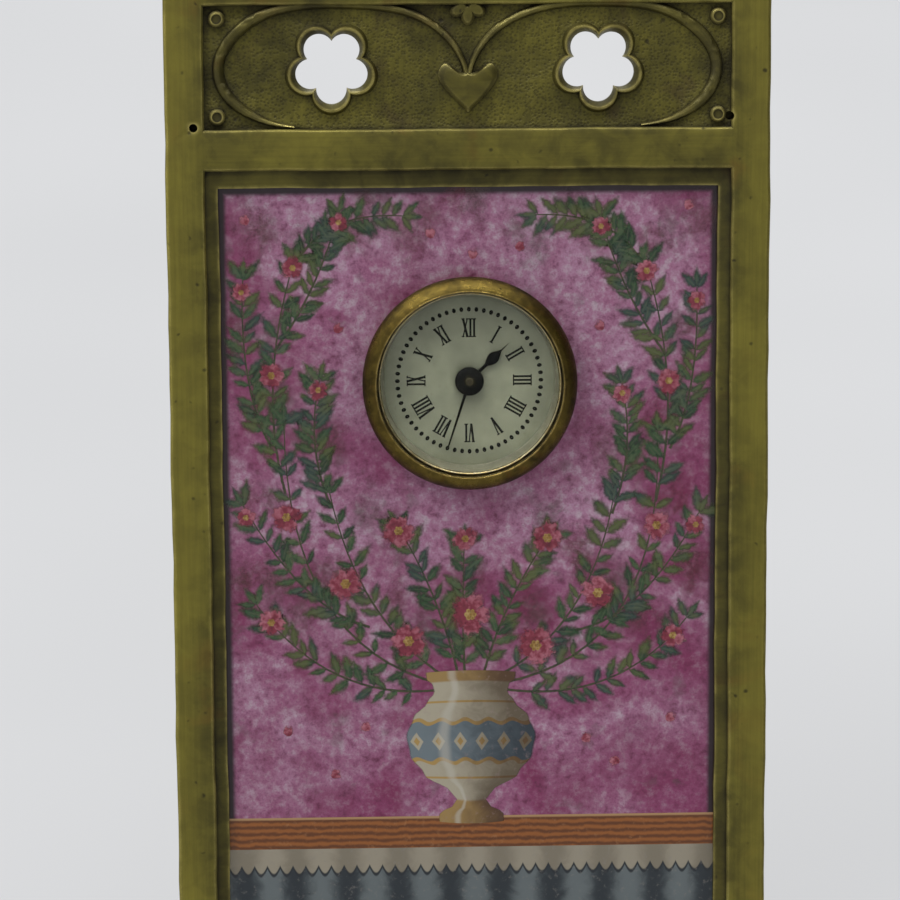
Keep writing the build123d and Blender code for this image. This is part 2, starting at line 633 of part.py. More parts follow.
def clamp_ring():
    """The notched ring that draws the drum back against the plate."""
    fit = DRUM_RADIUS + DRUM_FIT
    outline = Circle(fit + CLAMP_RING_WIDTH) - Circle(fit)
    for notch in range(CLAMP_RING_NOTCHES):
        at = polar(fit + CLAMP_RING_WIDTH, 360 / CLAMP_RING_NOTCHES * notch)
        outline -= Pos(*at) * Circle(CLAMP_RING_WIDTH / 3)
    return slab(outline, BACK_FACE, BACK_FACE + CLAMP_RING_DEPTH)


# Toothed wheels


def gear_outline(teeth, module, form, facing, gap=False):
    """A toothed outline with a tooth, or a gap, facing the given way."""
    pitch = 2 * pi / teeth
    first = radians(facing) + (pitch / 2 if gap else 0)
    root, tip = module * (teeth / 2 - form["dedendum"]), module * (teeth / 2 + form["addendum"])
    foot, top = form["root"], form["tip"]
    corners = []
    for tooth in range(teeth):
        for radius, share in ((root, -foot), (tip, -top), (tip, top), (root, foot)):
            angle = first + pitch * (tooth + share / 2)
            corners.append((radius * cos(angle), radius * sin(angle)))
    return make_face(Polyline(*corners, close=True))


def crossings(rim, hub, arm):
    """The four openings between a wheel's arms."""
    openings = Circle(rim) - Circle(hub)
    for turn in (0, 90):
        openings -= Rot(0, 0, turn) * Rectangle(2 * rim + 1, arm)
    return openings


def toothed_wheel(at, teeth, module, facing, front):
    """A crossed-out wheel with a tooth facing the pinion that it drives."""
    outline = gear_outline(teeth, module, WHEEL_FORM, facing)
    outline -= crossings(module * (teeth / 2 - 3.5), module * 10, module * 4)
    return slab(Pos(*at) * outline, front, front + WHEEL_THICKNESS)


def pinion(at, leaves, module, facing, front, length=PINION_LENGTH):
    """A pinion with a gap facing the wheel that drives it."""
    outline = gear_outline(leaves, module, LEAF_FORM, facing + 180, gap=True)
    return slab(Pos(*at) * outline, front, front + length)


def arbor(at, radius, pivot, front=FRONT_PLATE, back=REAR_PLATE_BACK):
    """A straight arbor between the plates, with thinner pivots in them."""
    body = rod(radius, TRAIN_FRONT + END_SHAKE, REAR_PLATE - END_SHAKE, at)
    return body + rod(pivot, front + END_SHAKE, back - END_SHAKE, at)


# Train, from the barrel to the escape wheel; each wheel and its pinion share one arbor

BARREL_FRONT = TRAIN_FRONT + 0.3
BARREL_FLOOR = BARREL_FRONT + 1.1
BARREL_BACK = BARREL_FRONT + BARREL_DEPTH
CENTRE_LEVEL = BARREL_BACK + 0.8
THIRD_LEVEL = CENTRE_LEVEL - 2.7
FOURTH_LEVEL = THIRD_LEVEL - 2.6
ESCAPE_LEVEL = FOURTH_LEVEL + 1.5
PIVOT_RADIUS = 0.25
FINE_PIVOT_RADIUS = 0.15


def spiral(inner, outer, turns, thickness, front, back, at):
    """A flat coiled strip, each half turn one arc about a centre that steps from side to side."""
    step = (outer - inner) / (2 * turns)
    edges = []
    for offset in (-thickness / 2, thickness / 2):
        side = []
        radius, centre, sign = inner, 0.0, 1
        for _ in range(2 * turns):
            bend = radius + offset
            reach = sign * bend
            side.append(ThreePointArc((centre + reach, 0), (centre, reach), (centre - reach, 0)))
            centre += sign * step
            radius += step
            sign = -sign
        edges.append(side)
    inside, outside = edges
    ends = [Line(inside[0] @ 0, outside[0] @ 0), Line(inside[-1] @ 1, outside[-1] @ 1)]
    return slab(Pos(*at) * make_face([*inside, *outside, *ends]), front, back)


def barrel_drum():
    """The going barrel: a cup with the great wheel's teeth round its floor."""
    outline = gear_outline(BARREL_TEETH, BARREL_MODULE, WHEEL_FORM, BARREL_WAY + 180)
    cup = slab(Pos(*BARREL) * outline, BARREL_FRONT, BARREL_FLOOR)
    cup += tube(BARREL_RADIUS, BARREL_RADIUS - BARREL_WALL, BARREL_FLOOR, BARREL_BACK, BARREL)
    return cup - rod(BARREL_ARBOR_RADIUS + PIVOT_CLEARANCE, BARREL_FRONT - 1, BARREL_FLOOR + 1, BARREL)


def barrel_cover():
    lid = BARREL_RADIUS - BARREL_WALL - PIVOT_CLEARANCE
    return tube(lid, BARREL_ARBOR_RADIUS + PIVOT_CLEARANCE, BARREL_BACK - BARREL_COVER, BARREL_BACK, BARREL)


def mainspring():
    inner = BARREL_CORE_RADIUS + SPRING_FIT + MAINSPRING_THICKNESS / 2
    outer = BARREL_RADIUS - BARREL_WALL - MAINSPRING_THICKNESS / 2
    edges = (BARREL_FLOOR + 2 * END_SHAKE, BARREL_BACK - BARREL_COVER - 2 * END_SHAKE)
    return spiral(inner, outer, MAINSPRING_TURNS, MAINSPRING_THICKNESS, *edges, BARREL)


def barrel_arbor():
    shaft = rod(BARREL_ARBOR_RADIUS, TRAIN_FRONT + END_SHAKE, OUTSIDE + KEY_SOCKET, BARREL)
    shaft += rod(BARREL_PIVOT_RADIUS, FRONT_PLATE + END_SHAKE, TRAIN_FRONT + END_SHAKE, BARREL)
    core = (BARREL_FLOOR + END_SHAKE, BARREL_BACK - BARREL_COVER - END_SHAKE)
    return shaft + rod(BARREL_CORE_RADIUS, *core, BARREL)


def centre_wheel():
    """Turns on the centre arbor by friction, so that the hands can be set."""
    sleeve = CENTRE_ARBOR_RADIUS + PIVOT_CLEARANCE + 0.2
    body = toothed_wheel(CENTRE, CENTRE_TEETH, CENTRE_MODULE, THIRD_WAY, CENTRE_LEVEL)
    body += pinion(CENTRE, CENTRE_LEAVES, BARREL_MODULE, BARREL_WAY + 180, TRAIN_FRONT + 0.2, 1.3)
    body += rod(sleeve, TRAIN_FRONT + END_SHAKE, REAR_PLATE - END_SHAKE)
    return body - rod(CENTRE_ARBOR_RADIUS + PIVOT_CLEARANCE, TRAIN_FRONT - 1, REAR_PLATE + 1)


def third_wheel():
    body = toothed_wheel(THIRD, THIRD_TEETH, THIRD_MODULE, FOURTH_WAY, THIRD_LEVEL)
    body += pinion(THIRD, THIRD_LEAVES, CENTRE_MODULE, THIRD_WAY, CENTRE_LEVEL - 0.2)
    return body + arbor(THIRD, 0.4, PIVOT_RADIUS)


def fourth_wheel():
    body = toothed_wheel(FOURTH, FOURTH_TEETH, FOURTH_MODULE, ESCAPE_WAY, FOURTH_LEVEL)
    body += pinion(FOURTH, FOURTH_LEAVES, THIRD_MODULE, FOURTH_WAY, THIRD_LEVEL - 0.2)
    return body + arbor(FOURTH, 0.35, PIVOT_RADIUS)


def escape_wheel():
    """Fifteen slender teeth, raked forward."""
    pitch = 360 / ESCAPE_TEETH
    root = ESCAPE_RADIUS * 0.72
    corners = []
    for tooth in range(ESCAPE_TEETH):
        start = LEVER_WAY + pitch * tooth
        corners += [polar(root, start), polar(ESCAPE_RADIUS, start + pitch * 0.25),
                    polar(ESCAPE_RADIUS, start + pitch * 0.32), polar(root, start + pitch * 0.4)]
    outline = make_face(Polyline(*corners, close=True))
    outline -= crossings(root * 0.78, root * 0.35, root * 0.25)
    body = slab(Pos(*ESCAPE) * outline, ESCAPE_LEVEL, ESCAPE_LEVEL + 0.4)
    body += pinion(ESCAPE, ESCAPE_LEAVES, FOURTH_MODULE, ESCAPE_WAY, FOURTH_LEVEL - 0.2)
    return body + arbor(ESCAPE, 0.22, FINE_PIVOT_RADIUS)


# Escapement and balance


def pallet_lever():
    """A pin-pallet lever: two upright pins astride the escape wheel, and a fork for the balance."""
    reach = ESCAPE_RADIUS + PALLET_PIN_RADIUS + END_SHAKE
    level = LEVER_LEVEL
    pins = [polar(reach, LEVER_WAY + side * 45, ESCAPE) for side in (-1, 1)]
    outline = Pos(*LEVER) * Circle(0.55)
    for at in pins:
        outline += bar(LEVER, at, 0.5) + Pos(*at) * Circle(PALLET_PIN_RADIUS + 0.12)
    fork = polar(BALANCE_DISTANCE - IMPULSE_ORBIT, LEVER_WAY, LEVER)
    outline += bar(LEVER, polar(-0.9, LEVER_WAY, fork), 0.5)
    outline += Pos(*polar(-0.45, LEVER_WAY, fork)) * Rot(0, 0, LEVER_WAY) * Rectangle(1.0, 1.7)
    outline -= Pos(*polar(0.2, LEVER_WAY, fork)) * Rot(0, 0, LEVER_WAY) * Rectangle(1.2, 0.9)
    body = slab(outline, level, level + 0.5)
    for at in pins:
        body += rod(PALLET_PIN_RADIUS, level + 0.25, ESCAPE_LEVEL + 0.6, at)
    return body + arbor(LEVER, 0.3, FINE_PIVOT_RADIUS)


def bar(start, end, width):
    """A straight bar between two points."""
    across, up = end[0] - start[0], end[1] - start[1]
    middle = ((start[0] + end[0]) / 2, (start[1] + end[1]) / 2)
    return Pos(*middle) * Rot(0, 0, degrees(atan2(up, across))) * Rectangle(hypot(across, up), width)


LEVER_LEVEL = ESCAPE_LEVEL - 0.9
BALANCE_LEVEL = REAR_PLATE_BACK + 1.5
HAIRSPRING_LEVEL = BALANCE_LEVEL + 1.2
COCK_LEVEL = HAIRSPRING_LEVEL + 1.0
COCK_THICKNESS = 0.9
COCK_FOOT = polar(6.2, -3, BALANCE)
COCK_FOOT_RADIUS = 1.7
COCK_EYE_RADIUS = 1.4
REGULATOR_HUB = 0.8
REGULATOR_THICKNESS = 0.4
REGULATOR_WAY = degrees(atan2(BALANCE[1], BALANCE[0]))
REGULATOR_LENGTH = 4.2
REGULATOR_RANGE = 20.0
REGULATOR_PIN_RADIUS = 0.35


def balance_wheel():
    rim = Circle(BALANCE_RADIUS) - Circle(BALANCE_RADIUS - BALANCE_RIM)
    arm = Rot(0, 0, LEVER_WAY) * Rectangle(2 * BALANCE_RADIUS - BALANCE_RIM, 0.9)
    outline = rim + arm + Circle(1.0) - Circle(STAFF_RADIUS + PIVOT_CLEARANCE)
    return slab(Pos(*BALANCE) * outline, BALANCE_LEVEL, BALANCE_LEVEL + 0.8)


def balance_staff():
    """The staff, with the collet for the hairspring, the roller and its impulse pin."""
    body = rod(STAFF_RADIUS, TRAIN_FRONT + END_SHAKE, COCK_LEVEL - END_SHAKE, BALANCE)
    cock_back = COCK_LEVEL + COCK_THICKNESS
    body += rod(FINE_PIVOT_RADIUS, FRONT_PLATE + END_SHAKE, cock_back - END_SHAKE, BALANCE)
    body += rod(STAFF_RADIUS + COLLET_WALL, HAIRSPRING_LEVEL - 0.1, HAIRSPRING_LEVEL + 0.5, BALANCE)
    roller = LEVER_LEVEL + 0.65
    body += rod(IMPULSE_ORBIT + 0.3, roller, roller + 0.4, BALANCE)
    pin = polar(IMPULSE_ORBIT, LEVER_WAY + 180, BALANCE)
    return body + rod(IMPULSE_PIN_RADIUS, LEVER_LEVEL - 0.05, roller, pin)


def hairspring():
    inner = STAFF_RADIUS + COLLET_WALL + SPRING_FIT + HAIRSPRING_THICKNESS / 2
    return spiral(inner, HAIRSPRING_RADIUS, HAIRSPRING_TURNS, HAIRSPRING_THICKNESS,
                  HAIRSPRING_LEVEL, HAIRSPRING_LEVEL + 0.4, BALANCE)


def balance_cock():
    """The bridge over the balance, with its foot on the rear plate and the hairspring's stud."""
    outline = Pos(*COCK_FOOT) * Circle(COCK_FOOT_RADIUS) + Pos(*BALANCE) * Circle(COCK_EYE_RADIUS)
    outline += bar(COCK_FOOT, BALANCE, 1.6 * COCK_EYE_RADIUS)
    back = COCK_LEVEL + COCK_THICKNESS
    body = slab(outline, COCK_LEVEL, back)
    body += rod(COCK_FOOT_RADIUS, REAR_PLATE_BACK, COCK_LEVEL, COCK_FOOT)
    stud = Pos(BALANCE[0] + HAIRSPRING_RADIUS, BALANCE[1] + STUD_SIZE / 2) * Rectangle(STUD_SIZE, STUD_SIZE)
    body += slab(stud, HAIRSPRING_LEVEL, COCK_LEVEL)
    body += rod(REGULATOR_HUB, back, back + REGULATOR_THICKNESS + 2 * END_SHAKE, BALANCE)
    return body - rod(FINE_PIVOT_RADIUS + PIVOT_CLEARANCE, COCK_LEVEL - 1, back, BALANCE)


def regulator_pin():
    return polar(REGULATOR_LENGTH, REGULATOR_WAY, BALANCE)


def regulator_slot():
    """The arc in the rear cap that the regulator's pin swings along."""
    width = REGULATOR_PIN_RADIUS + 0.25
    track = Circle(REGULATOR_LENGTH + width) - Circle(REGULATOR_LENGTH - width)
    half = REGULATOR_RANGE + 8
    ways = (REGULATOR_WAY - half, REGULATOR_WAY, REGULATOR_WAY + half)
    corners = [(0, 0), *[polar(2 * REGULATOR_LENGTH, way) for way in ways]]
    return Pos(*BALANCE) * (track & make_face(Polyline(*corners, close=True)))


def regulator():
    level = COCK_LEVEL + COCK_THICKNESS + END_SHAKE
    pin = regulator_pin()
    outline = Pos(*BALANCE) * Circle(COCK_EYE_RADIUS) + bar(BALANCE, pin, 0.9) + Pos(*pin) * Circle(0.6)
    outline -= Pos(*BALANCE) * Circle(REGULATOR_HUB + PIVOT_CLEARANCE)
    body = slab(outline, level, level + REGULATOR_THICKNESS)
    return body + rod(REGULATOR_PIN_RADIUS, level + REGULATOR_THICKNESS / 2, CAP_OUTSIDE + 0.8, pin)


# Plates and what joins them


def front_plate():
    body = rod(INSERT_RADIUS, FRONT_PLATE, TRAIN_FRONT)
    holes = {CENTRE: CENTRE_ARBOR_RADIUS, BARREL: BARREL_PIVOT_RADIUS, THIRD: PIVOT_RADIUS,
             FOURTH: PIVOT_RADIUS, ESCAPE: FINE_PIVOT_RADIUS, LEVER: FINE_PIVOT_RADIUS,
             BALANCE: FINE_PIVOT_RADIUS}
    for at, radius in holes.items():
        body -= rod(radius + PIVOT_CLEARANCE, FRONT_PLATE - 1, TRAIN_FRONT + 1, at)
    for at in PILLARS:
        body -= rod(PILLAR_TENON, FRONT_PLATE - 1, TRAIN_FRONT + 1, at)
    return body + rod(MINUTE_POST_RADIUS, MINUTE_POST_FRONT, FRONT_PLATE, MINUTE_WHEEL)


def rear_plate():
    body = rod(PILLAR_CIRCLE + 1.5 * PILLAR_RADIUS, REAR_PLATE, REAR_PLATE_BACK)
    holes = {CENTRE: CENTRE_ARBOR_RADIUS, BARREL: BARREL_ARBOR_RADIUS, THIRD: PIVOT_RADIUS,
             FOURTH: PIVOT_RADIUS, ESCAPE: FINE_PIVOT_RADIUS, LEVER: FINE_PIVOT_RADIUS,
             BALANCE: STAFF_RADIUS + 0.3}
    for at, radius in holes.items():
        body -= rod(radius + PIVOT_CLEARANCE, REAR_PLATE - 1, REAR_PLATE_BACK + 1, at)
    for at in PILLARS:
        body -= rod(PILLAR_SCREW_RADIUS + PIVOT_CLEARANCE, REAR_PLATE - 1, REAR_PLATE_BACK + 1, at)
    return body + rod(CLICK_POST_RADIUS, REAR_PLATE_BACK, CLICK_LEVEL + CLICK_THICKNESS + 0.3, CLICK)


def plate_pillars():
    pillars = []
    for at in PILLARS:
        pillar = rod(PILLAR_RADIUS, TRAIN_FRONT, REAR_PLATE, at)
        pillar += rod(PILLAR_TENON - PIVOT_CLEARANCE, FRONT_PLATE, TRAIN_FRONT, at)
        thread = REAR_PLATE - PILLAR_SCREW_GRIP - 2 * END_SHAKE
        pillars.append(pillar - rod(PILLAR_SCREW_RADIUS, thread, REAR_PLATE + 1, at))
    return pillars


def pillar_screws():
    grip = PLATE_THICKNESS + PILLAR_SCREW_GRIP
    shank, head = PILLAR_SCREW_RADIUS - PIVOT_CLEARANCE, 1.2 * PILLAR_RADIUS
    sizes = (REAR_PLATE_BACK, grip, shank, head, SCREW_HEAD_HEIGHT)
    return [slotted_screw(at, *sizes) for at in PILLARS]


# Winding: ratchet, click and key

CLICK_LEVEL = REAR_PLATE_BACK + 0.2
CLICK_THICKNESS = 0.8
CLICK_POST_RADIUS = 0.5
RATCHET_WAY = 60
CLICK = polar(RATCHET_RADIUS * 1.55, 100, BARREL)


def ratchet_wheel():
    """Saw teeth whose steep sides lean on the click."""
    pitch = 360 / RATCHET_TEETH
    corners = []
    for tooth in range(RATCHET_TEETH):
        way = RATCHET_WAY + pitch * tooth
        corners += [polar(RATCHET_RADIUS, way), polar(RATCHET_RADIUS * 0.85, way)]
    outline = make_face(Polyline(*corners, close=True)) - Circle(BARREL_ARBOR_RADIUS)
    return slab(Pos(*BARREL) * outline, CLICK_LEVEL, CLICK_LEVEL + CLICK_THICKNESS)


def click():
    """The pawl: its beak drops into the ratchet, a little clear of the tooth."""
    corners = ((0.93, 63), (1.08, 70), (1.25, 96), (1.75, 104), (1.7, 88), (1.2, 64))
    beak = [polar(RATCHET_RADIUS * share, way, BARREL) for share, way in corners]
    outline = make_face(Polyline(*beak, close=True)) + Pos(*CLICK) * Circle(CLICK_POST_RADIUS + 0.5)
    outline -= Pos(*CLICK) * Circle(CLICK_POST_RADIUS + PIVOT_CLEARANCE)
    return slab(outline, CLICK_LEVEL, CLICK_LEVEL + CLICK_THICKNESS)


def click_spring():
    """A thin blade from a block on the plate, resting on the click's back."""
    block = polar(RATCHET_RADIUS * 2.1, 62, BARREL)
    rest = polar(RATCHET_RADIUS * 1.75, 84, BARREL)
    outline = Pos(*block) * Circle(0.6) + bar(block, rest, 0.2)
    return slab(outline, REAR_PLATE_BACK, CLICK_LEVEL + CLICK_THICKNESS)


def winding_key():
    """A wing key with two finger holes."""
    lobe = KEY_SPAN / 4
    tail = OUTSIDE + KEY_LENGTH - lobe
    wings = Pos(0, tail - lobe / 2) * Rectangle(KEY_SPAN / 2, lobe)
    for side in (-1, 1):
        wings += Pos(side * lobe, tail) * (Circle(lobe) - Circle(KEY_FINGER_HOLE))
    blade = extrude(wings, amount=KEY_THICKNESS / 2, both=True)
    hub = rod(KEY_HUB_RADIUS, OUTSIDE, tail - lobe / 2)
    key = Pos(BARREL[0], 0, BARREL[1]) * (blade + hub)
    return key - rod(BARREL_ARBOR_RADIUS, OUTSIDE - 1, OUTSIDE + KEY_SOCKET, BARREL)


# Motion work, hands and setting knob

MINUTE_POST_RADIUS = 0.4
CANNON_LEVEL = FRONT_PLATE - 1.1
HOUR_LEVEL = CANNON_LEVEL - 0.8
MINUTE_POST_FRONT = HOUR_LEVEL - 0.2
CANNON_PIPE = CENTRE_ARBOR_RADIUS + 0.35
HOUR_PIPE = CANNON_PIPE + 0.5
HOUR_HAND_BACK = DIAL_FRONT - 0.4
MINUTE_HAND_BACK = HOUR_HAND_BACK - HAND_THICKNESS - 0.35


def centre_arbor():
    return rod(CENTRE_ARBOR_RADIUS, MINUTE_HAND_BACK - 0.8, OUTSIDE + SET_KNOB_LENGTH - SET_KNOB_CAP)


def cannon_pinion():
    facing = MINUTE_WHEEL_WAY + 180
    body = pinion(CENTRE, CANNON_LEAVES, MINUTE_MODULE, facing, CANNON_LEVEL, 1.0)
    body += rod(CANNON_PIPE, MINUTE_HAND_BACK - HAND_THICKNESS, CANNON_LEVEL)
    return body - rod(CENTRE_ARBOR_RADIUS, 0, FRONT_PLATE)


def minute_wheel():
    facing = MINUTE_WHEEL_WAY
    level = CANNON_LEVEL + 0.2
    body = toothed_wheel(MINUTE_WHEEL, MINUTE_WHEEL_TEETH, MINUTE_MODULE, facing + 180, level)
    body += pinion(MINUTE_WHEEL, MINUTE_LEAVES, HOUR_MODULE, facing, HOUR_LEVEL - 0.1, 1.1 + WHEEL_THICKNESS)
    return body - rod(MINUTE_POST_RADIUS + PIVOT_CLEARANCE, 0, FRONT_PLATE, MINUTE_WHEEL)


def hour_wheel():
    body = toothed_wheel(CENTRE, HOUR_TEETH, HOUR_MODULE, MINUTE_WHEEL_WAY, HOUR_LEVEL)
    body += rod(HOUR_PIPE, HOUR_HAND_BACK - HAND_THICKNESS, HOUR_LEVEL)
    return body - rod(CANNON_PIPE + PIVOT_CLEARANCE, 0, FRONT_PLATE)


def hour_hand():
    """A slim hand with a pear-shaped swelling past its middle."""
    hub = HAND_BOSS_RADIUS * 0.9
    low, mid, high = [HOUR_HAND_LENGTH * share for share in (0.42, 0.6, 0.8)]
    swelling = (HAND_HALF_WIDTH, low), (HAND_SWELLING, mid), (HAND_TIP, high)
    right = Line((HAND_HALF_WIDTH, 0), (HAND_HALF_WIDTH, low))
    right += Spline(*swelling, tangents=[(0.6, 1), (-0.5, 1)])
    right += Line((HAND_TIP, high), (0, HOUR_HAND_LENGTH))
    left = mirror(right, Plane.YZ)
    root = Line((-HAND_HALF_WIDTH, 0), (HAND_HALF_WIDTH, 0))
    blade = make_face([*right.edges(), *left.edges(), root])
    outline = Rot(0, 0, -HOUR_ANGLE) * blade + Circle(hub) - Circle(HOUR_PIPE)
    return slab(outline, HOUR_HAND_BACK - HAND_THICKNESS, HOUR_HAND_BACK)


def minute_hand():
    """A needle with a broad domed boss."""
    root, tip, length = HAND_HALF_WIDTH, HAND_TIP, MINUTE_HAND_LENGTH
    blade = make_face(Polyline((-root, 0), (root, 0), (tip, length), (-tip, length), close=True))
    outline = Rot(0, 0, -MINUTE_ANGLE) * blade + Circle(HAND_BOSS_RADIUS)
    body = slab(outline, MINUTE_HAND_BACK - HAND_THICKNESS, MINUTE_HAND_BACK)
    front = MINUTE_HAND_BACK - HAND_THICKNESS
    top = front - HAND_BOSS_RISE
    dome = TangentArc((0, top), (HAND_BOSS_RADIUS, front), tangent=(1, 0))
    dome += Polyline((HAND_BOSS_RADIUS, front), (0, front), (0, top))
    body += turned(make_face(dome))
    return body - rod(CENTRE_ARBOR_RADIUS, front - 1, front) - rod(CANNON_PIPE, front, MINUTE_HAND_BACK)


def set_knob():
    """The fluted knob on the back end of the centre arbor."""
    module = SET_KNOB_RADIUS / (SET_KNOB_FLUTES / 2 + FLUTE_FORM["addendum"])
    neck, end = OUTSIDE + SET_KNOB_NECK, OUTSIDE + SET_KNOB_LENGTH
    body = slab(gear_outline(SET_KNOB_FLUTES, module, FLUTE_FORM, 0), neck, end)
    body += rod(CENTRE_ARBOR_RADIUS + 0.7, OUTSIDE, neck)
    return body - rod(CENTRE_ARBOR_RADIUS, OUTSIDE - 1, end - SET_KNOB_CAP)


FRAME_PIECES = [
    frame_casting, enamel_plaque, packing_board, back_plate, back_plate_screws, hinge_leaf, hinge_rivets,
    hinge_pin, strut_leg,
]
CLOCK_PIECES = [
    bezel, crystal, sight_ring, dial, dial_spacer, drum_case, rear_cap, clamp_ring, front_plate, rear_plate,
    plate_pillars, pillar_screws, barrel_drum, barrel_cover, mainspring, barrel_arbor, ratchet_wheel, click,
    click_spring, winding_key, centre_wheel, third_wheel, fourth_wheel, escape_wheel, pallet_lever,
    balance_wheel, balance_staff, hairspring, balance_cock, regulator, centre_arbor, cannon_pinion,
    minute_wheel, hour_wheel, hour_hand, minute_hand, set_knob,
]


def standing(piece):
    """Leans a piece back with the frame. The middle of the frame's sole comes to the origin."""
    sole = FRAME_DEPTH / cos(radians(LEAN)) / 2
    return Pos(0, -sole, 0) * Rot(-LEAN, 0, 0) * piece


def solids_of(made):
    return [solid for shape in (made if isinstance(made, list) else [made]) for solid in shape.solids()]


def main():
    os.makedirs("parts", exist_ok=True)
    for make in FRAME_PIECES + CLOCK_PIECES:
        solids = solids_of(make())
        if make in CLOCK_PIECES:
            solids = [in_clock(solid) for solid in solids]
        leaned = [standing(solid) for solid in solids]
        export_step(leaned[0] if len(leaned) == 1 else Compound(leaned), f"parts/{make.__name__}.step")


if __name__ == "__main__":
    main()
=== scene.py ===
import random
from math import atan2, cos, degrees, pi, radians, sin, sqrt

import bpy
from mathutils import Matrix, Vector


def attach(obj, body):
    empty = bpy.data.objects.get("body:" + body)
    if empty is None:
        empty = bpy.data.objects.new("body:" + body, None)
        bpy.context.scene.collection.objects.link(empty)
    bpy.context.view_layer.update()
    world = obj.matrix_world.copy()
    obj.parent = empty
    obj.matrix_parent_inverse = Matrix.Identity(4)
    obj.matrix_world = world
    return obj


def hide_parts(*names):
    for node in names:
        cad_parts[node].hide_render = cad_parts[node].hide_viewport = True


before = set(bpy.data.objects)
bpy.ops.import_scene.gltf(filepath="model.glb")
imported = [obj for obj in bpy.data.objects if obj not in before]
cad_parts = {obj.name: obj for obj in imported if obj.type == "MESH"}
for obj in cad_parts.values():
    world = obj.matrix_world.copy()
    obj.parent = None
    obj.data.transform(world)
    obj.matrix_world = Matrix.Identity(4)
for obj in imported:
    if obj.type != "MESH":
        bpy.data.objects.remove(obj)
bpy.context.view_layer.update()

# Places and sizes, in millimetres and in the leaning frame's own axes: across, back from its face, up
MM = 0.001
LEAN = radians(15)
SOLE = 5.6 / cos(LEAN) / 2
STAND = Matrix.Translation((0, -SOLE * MM, 0)) @ Matrix.Rotation(-LEAN, 4, "X")
DIAL_Z = 110.85
CLOCK = STAND @ Matrix.Translation((0, 0, DIAL_Z * MM))
PLAQUE_FRONT = 2.4
PAINT_FRONT = PLAQUE_FRONT - 0.01
HAZE_FRONT, STAMEN_FRONT = PLAQUE_FRONT - 0.004, PLAQUE_FRONT - 0.1
WINDOW_MID = 77.4
TABLE_HALF = 43.0
CREST_DEPTH = 1.3
CREST_LOW, CREST_HIGH, CREST_SIDE = 153.1, 173.4, 43.5
DIAL_FRONT = 2.55
PRINT_FRONT = DIAL_FRONT - 0.005
PRINT_DEPTH = 0.03
GLASS_FRONT, GLASS_BACK, GLASS_DOME = -1.2, -0.3, 1.5
GLASS_SEAT, GLASS_RIM = 14.8, 15.35
MERGE = 2e-6
SMOOTH = radians(35)
SHARP = radians(32)

# How far the casting's uneven faces are drawn in, to stay inside the CAD's box
DRAWN_IN, DRAWN_DOWN = 0.16, 0.13

# Where a finish sets in and where it is full, in millimetres
STILE = (42.5, 44.5)
# From here outwards the stiles are painted lighter than the rails: a painted sheen for the light their brushing
# catches
STILE_SHEEN_SIDE = (43.2, 48.5)
# Faces set back behind the frame's face, the window's ledge and the crest, take painted shade
SUNK_FACE, SUNK_FLOOR, SUNK_SIDE = (0.05, 0.45), (3.0, 2.5), (47.5, 46.5)
WINDOW_HEAD = (151.5, 150.5)
PALE_LIP = (15.4, 15.3)
BARE_BOSS = (1.1, 0.7)
# The enamel darkens in painted shade along the window's edge
PLAQUE_SIDE, PLAQUE_END = (39.8, 40.7), (64.3, 65.2)


def srgb(red, green, blue):
    """A colour written as it shows on a screen, from 0 to 255."""
    parts = []
    for value in (red, green, blue):
        share = value / 255
        parts.append(share / 12.92 if share <= 0.04045 else ((share + 0.055) / 1.055) ** 2.4)
    return (*parts, 1.0)


# Node helpers


def fill(made, values):
    """Links or sets each of these inputs of a node."""
    for key, value in values.items():
        if isinstance(value, bpy.types.NodeSocket):
            made.id_data.links.new(value, made.inputs[key])
        else:
            made.inputs[key].default_value = value


def node(kind, inputs=None, tree=None, **settings):
    """Adds a shader node where its linked inputs are, or to a given tree, with its settings and inputs."""
    inputs = inputs or {}
    if tree is None:
        tree = next(value.id_data for value in inputs.values() if isinstance(value, bpy.types.NodeSocket))
    made = tree.nodes.new("ShaderNode" + kind)
    for name, value in settings.items():
        setattr(made, name, value)
    fill(made, inputs)
    return made


def calc(operation, first, second=0.0, clamp=False):
    return node("Math", {0: first, 1: second}, operation=operation, use_clamp=clamp).outputs[0]


def times(first, second):
    return calc("MULTIPLY", first, second)


def plus(first, second, clamp=False):
    return calc("ADD", first, second, clamp)


def away(value, level):
    """How far a value is from a level, either way."""
    return calc("ABSOLUTE", calc("SUBTRACT", value, level))


def wave(value, rate, shift=None):
    """A sine along a value."""
    angle = times(value, rate)
    return calc("SINE", angle if shift is None else plus(angle, shift))


def vector_calc(operation, first, second):
    return node("VectorMath", {0: first, 1: second}, operation=operation).outputs[0]


def mixed(share, first, second, how="MIX"):
    """Two colours blended, each from a socket or written as it shows on a screen."""
    first, second = [srgb(*tone) if isinstance(tone, tuple) else tone for tone in (first, second)]
    return node("Mix", {0: share, 6: first, 7: second}, data_type="RGBA", blend_type=how).outputs[2]


def spread(value, low, high, to_low=0.0, to_high=1.0):
    """A value stretched smoothly from one range to another, and kept inside it."""
    inputs = {0: value, 1: low, 2: high, 3: to_low, 4: to_high}
    return node("MapRange", inputs, interpolation_type="SMOOTHSTEP").outputs[0]


def span(place, ends, to_low=0.0, to_high=1.0):
    """The same for a place, between two ends in millimetres."""
    return spread(place, ends[0] * MM, ends[1] * MM, to_low, to_high)


def noise(vector, scale, detail=4.0, rough=0.55, twist=0.0):
    inputs = {"Vector": vector, "Scale": scale, "Detail": detail, "Roughness": rough, "Distortion": twist}
    return node("TexNoise", inputs).outputs[0]


def cells(vector, scale, chance=1.0):
    """How far each point is from the middle of its cell."""
    return node("TexVoronoi", {"Vector": vector, "Scale": scale, "Randomness": chance}).outputs["Distance"]


def attribute(where, name):
    made = node("Attribute", tree=where.id_data, attribute_name=name, attribute_type="GEOMETRY")
    return made.outputs["Fac"]


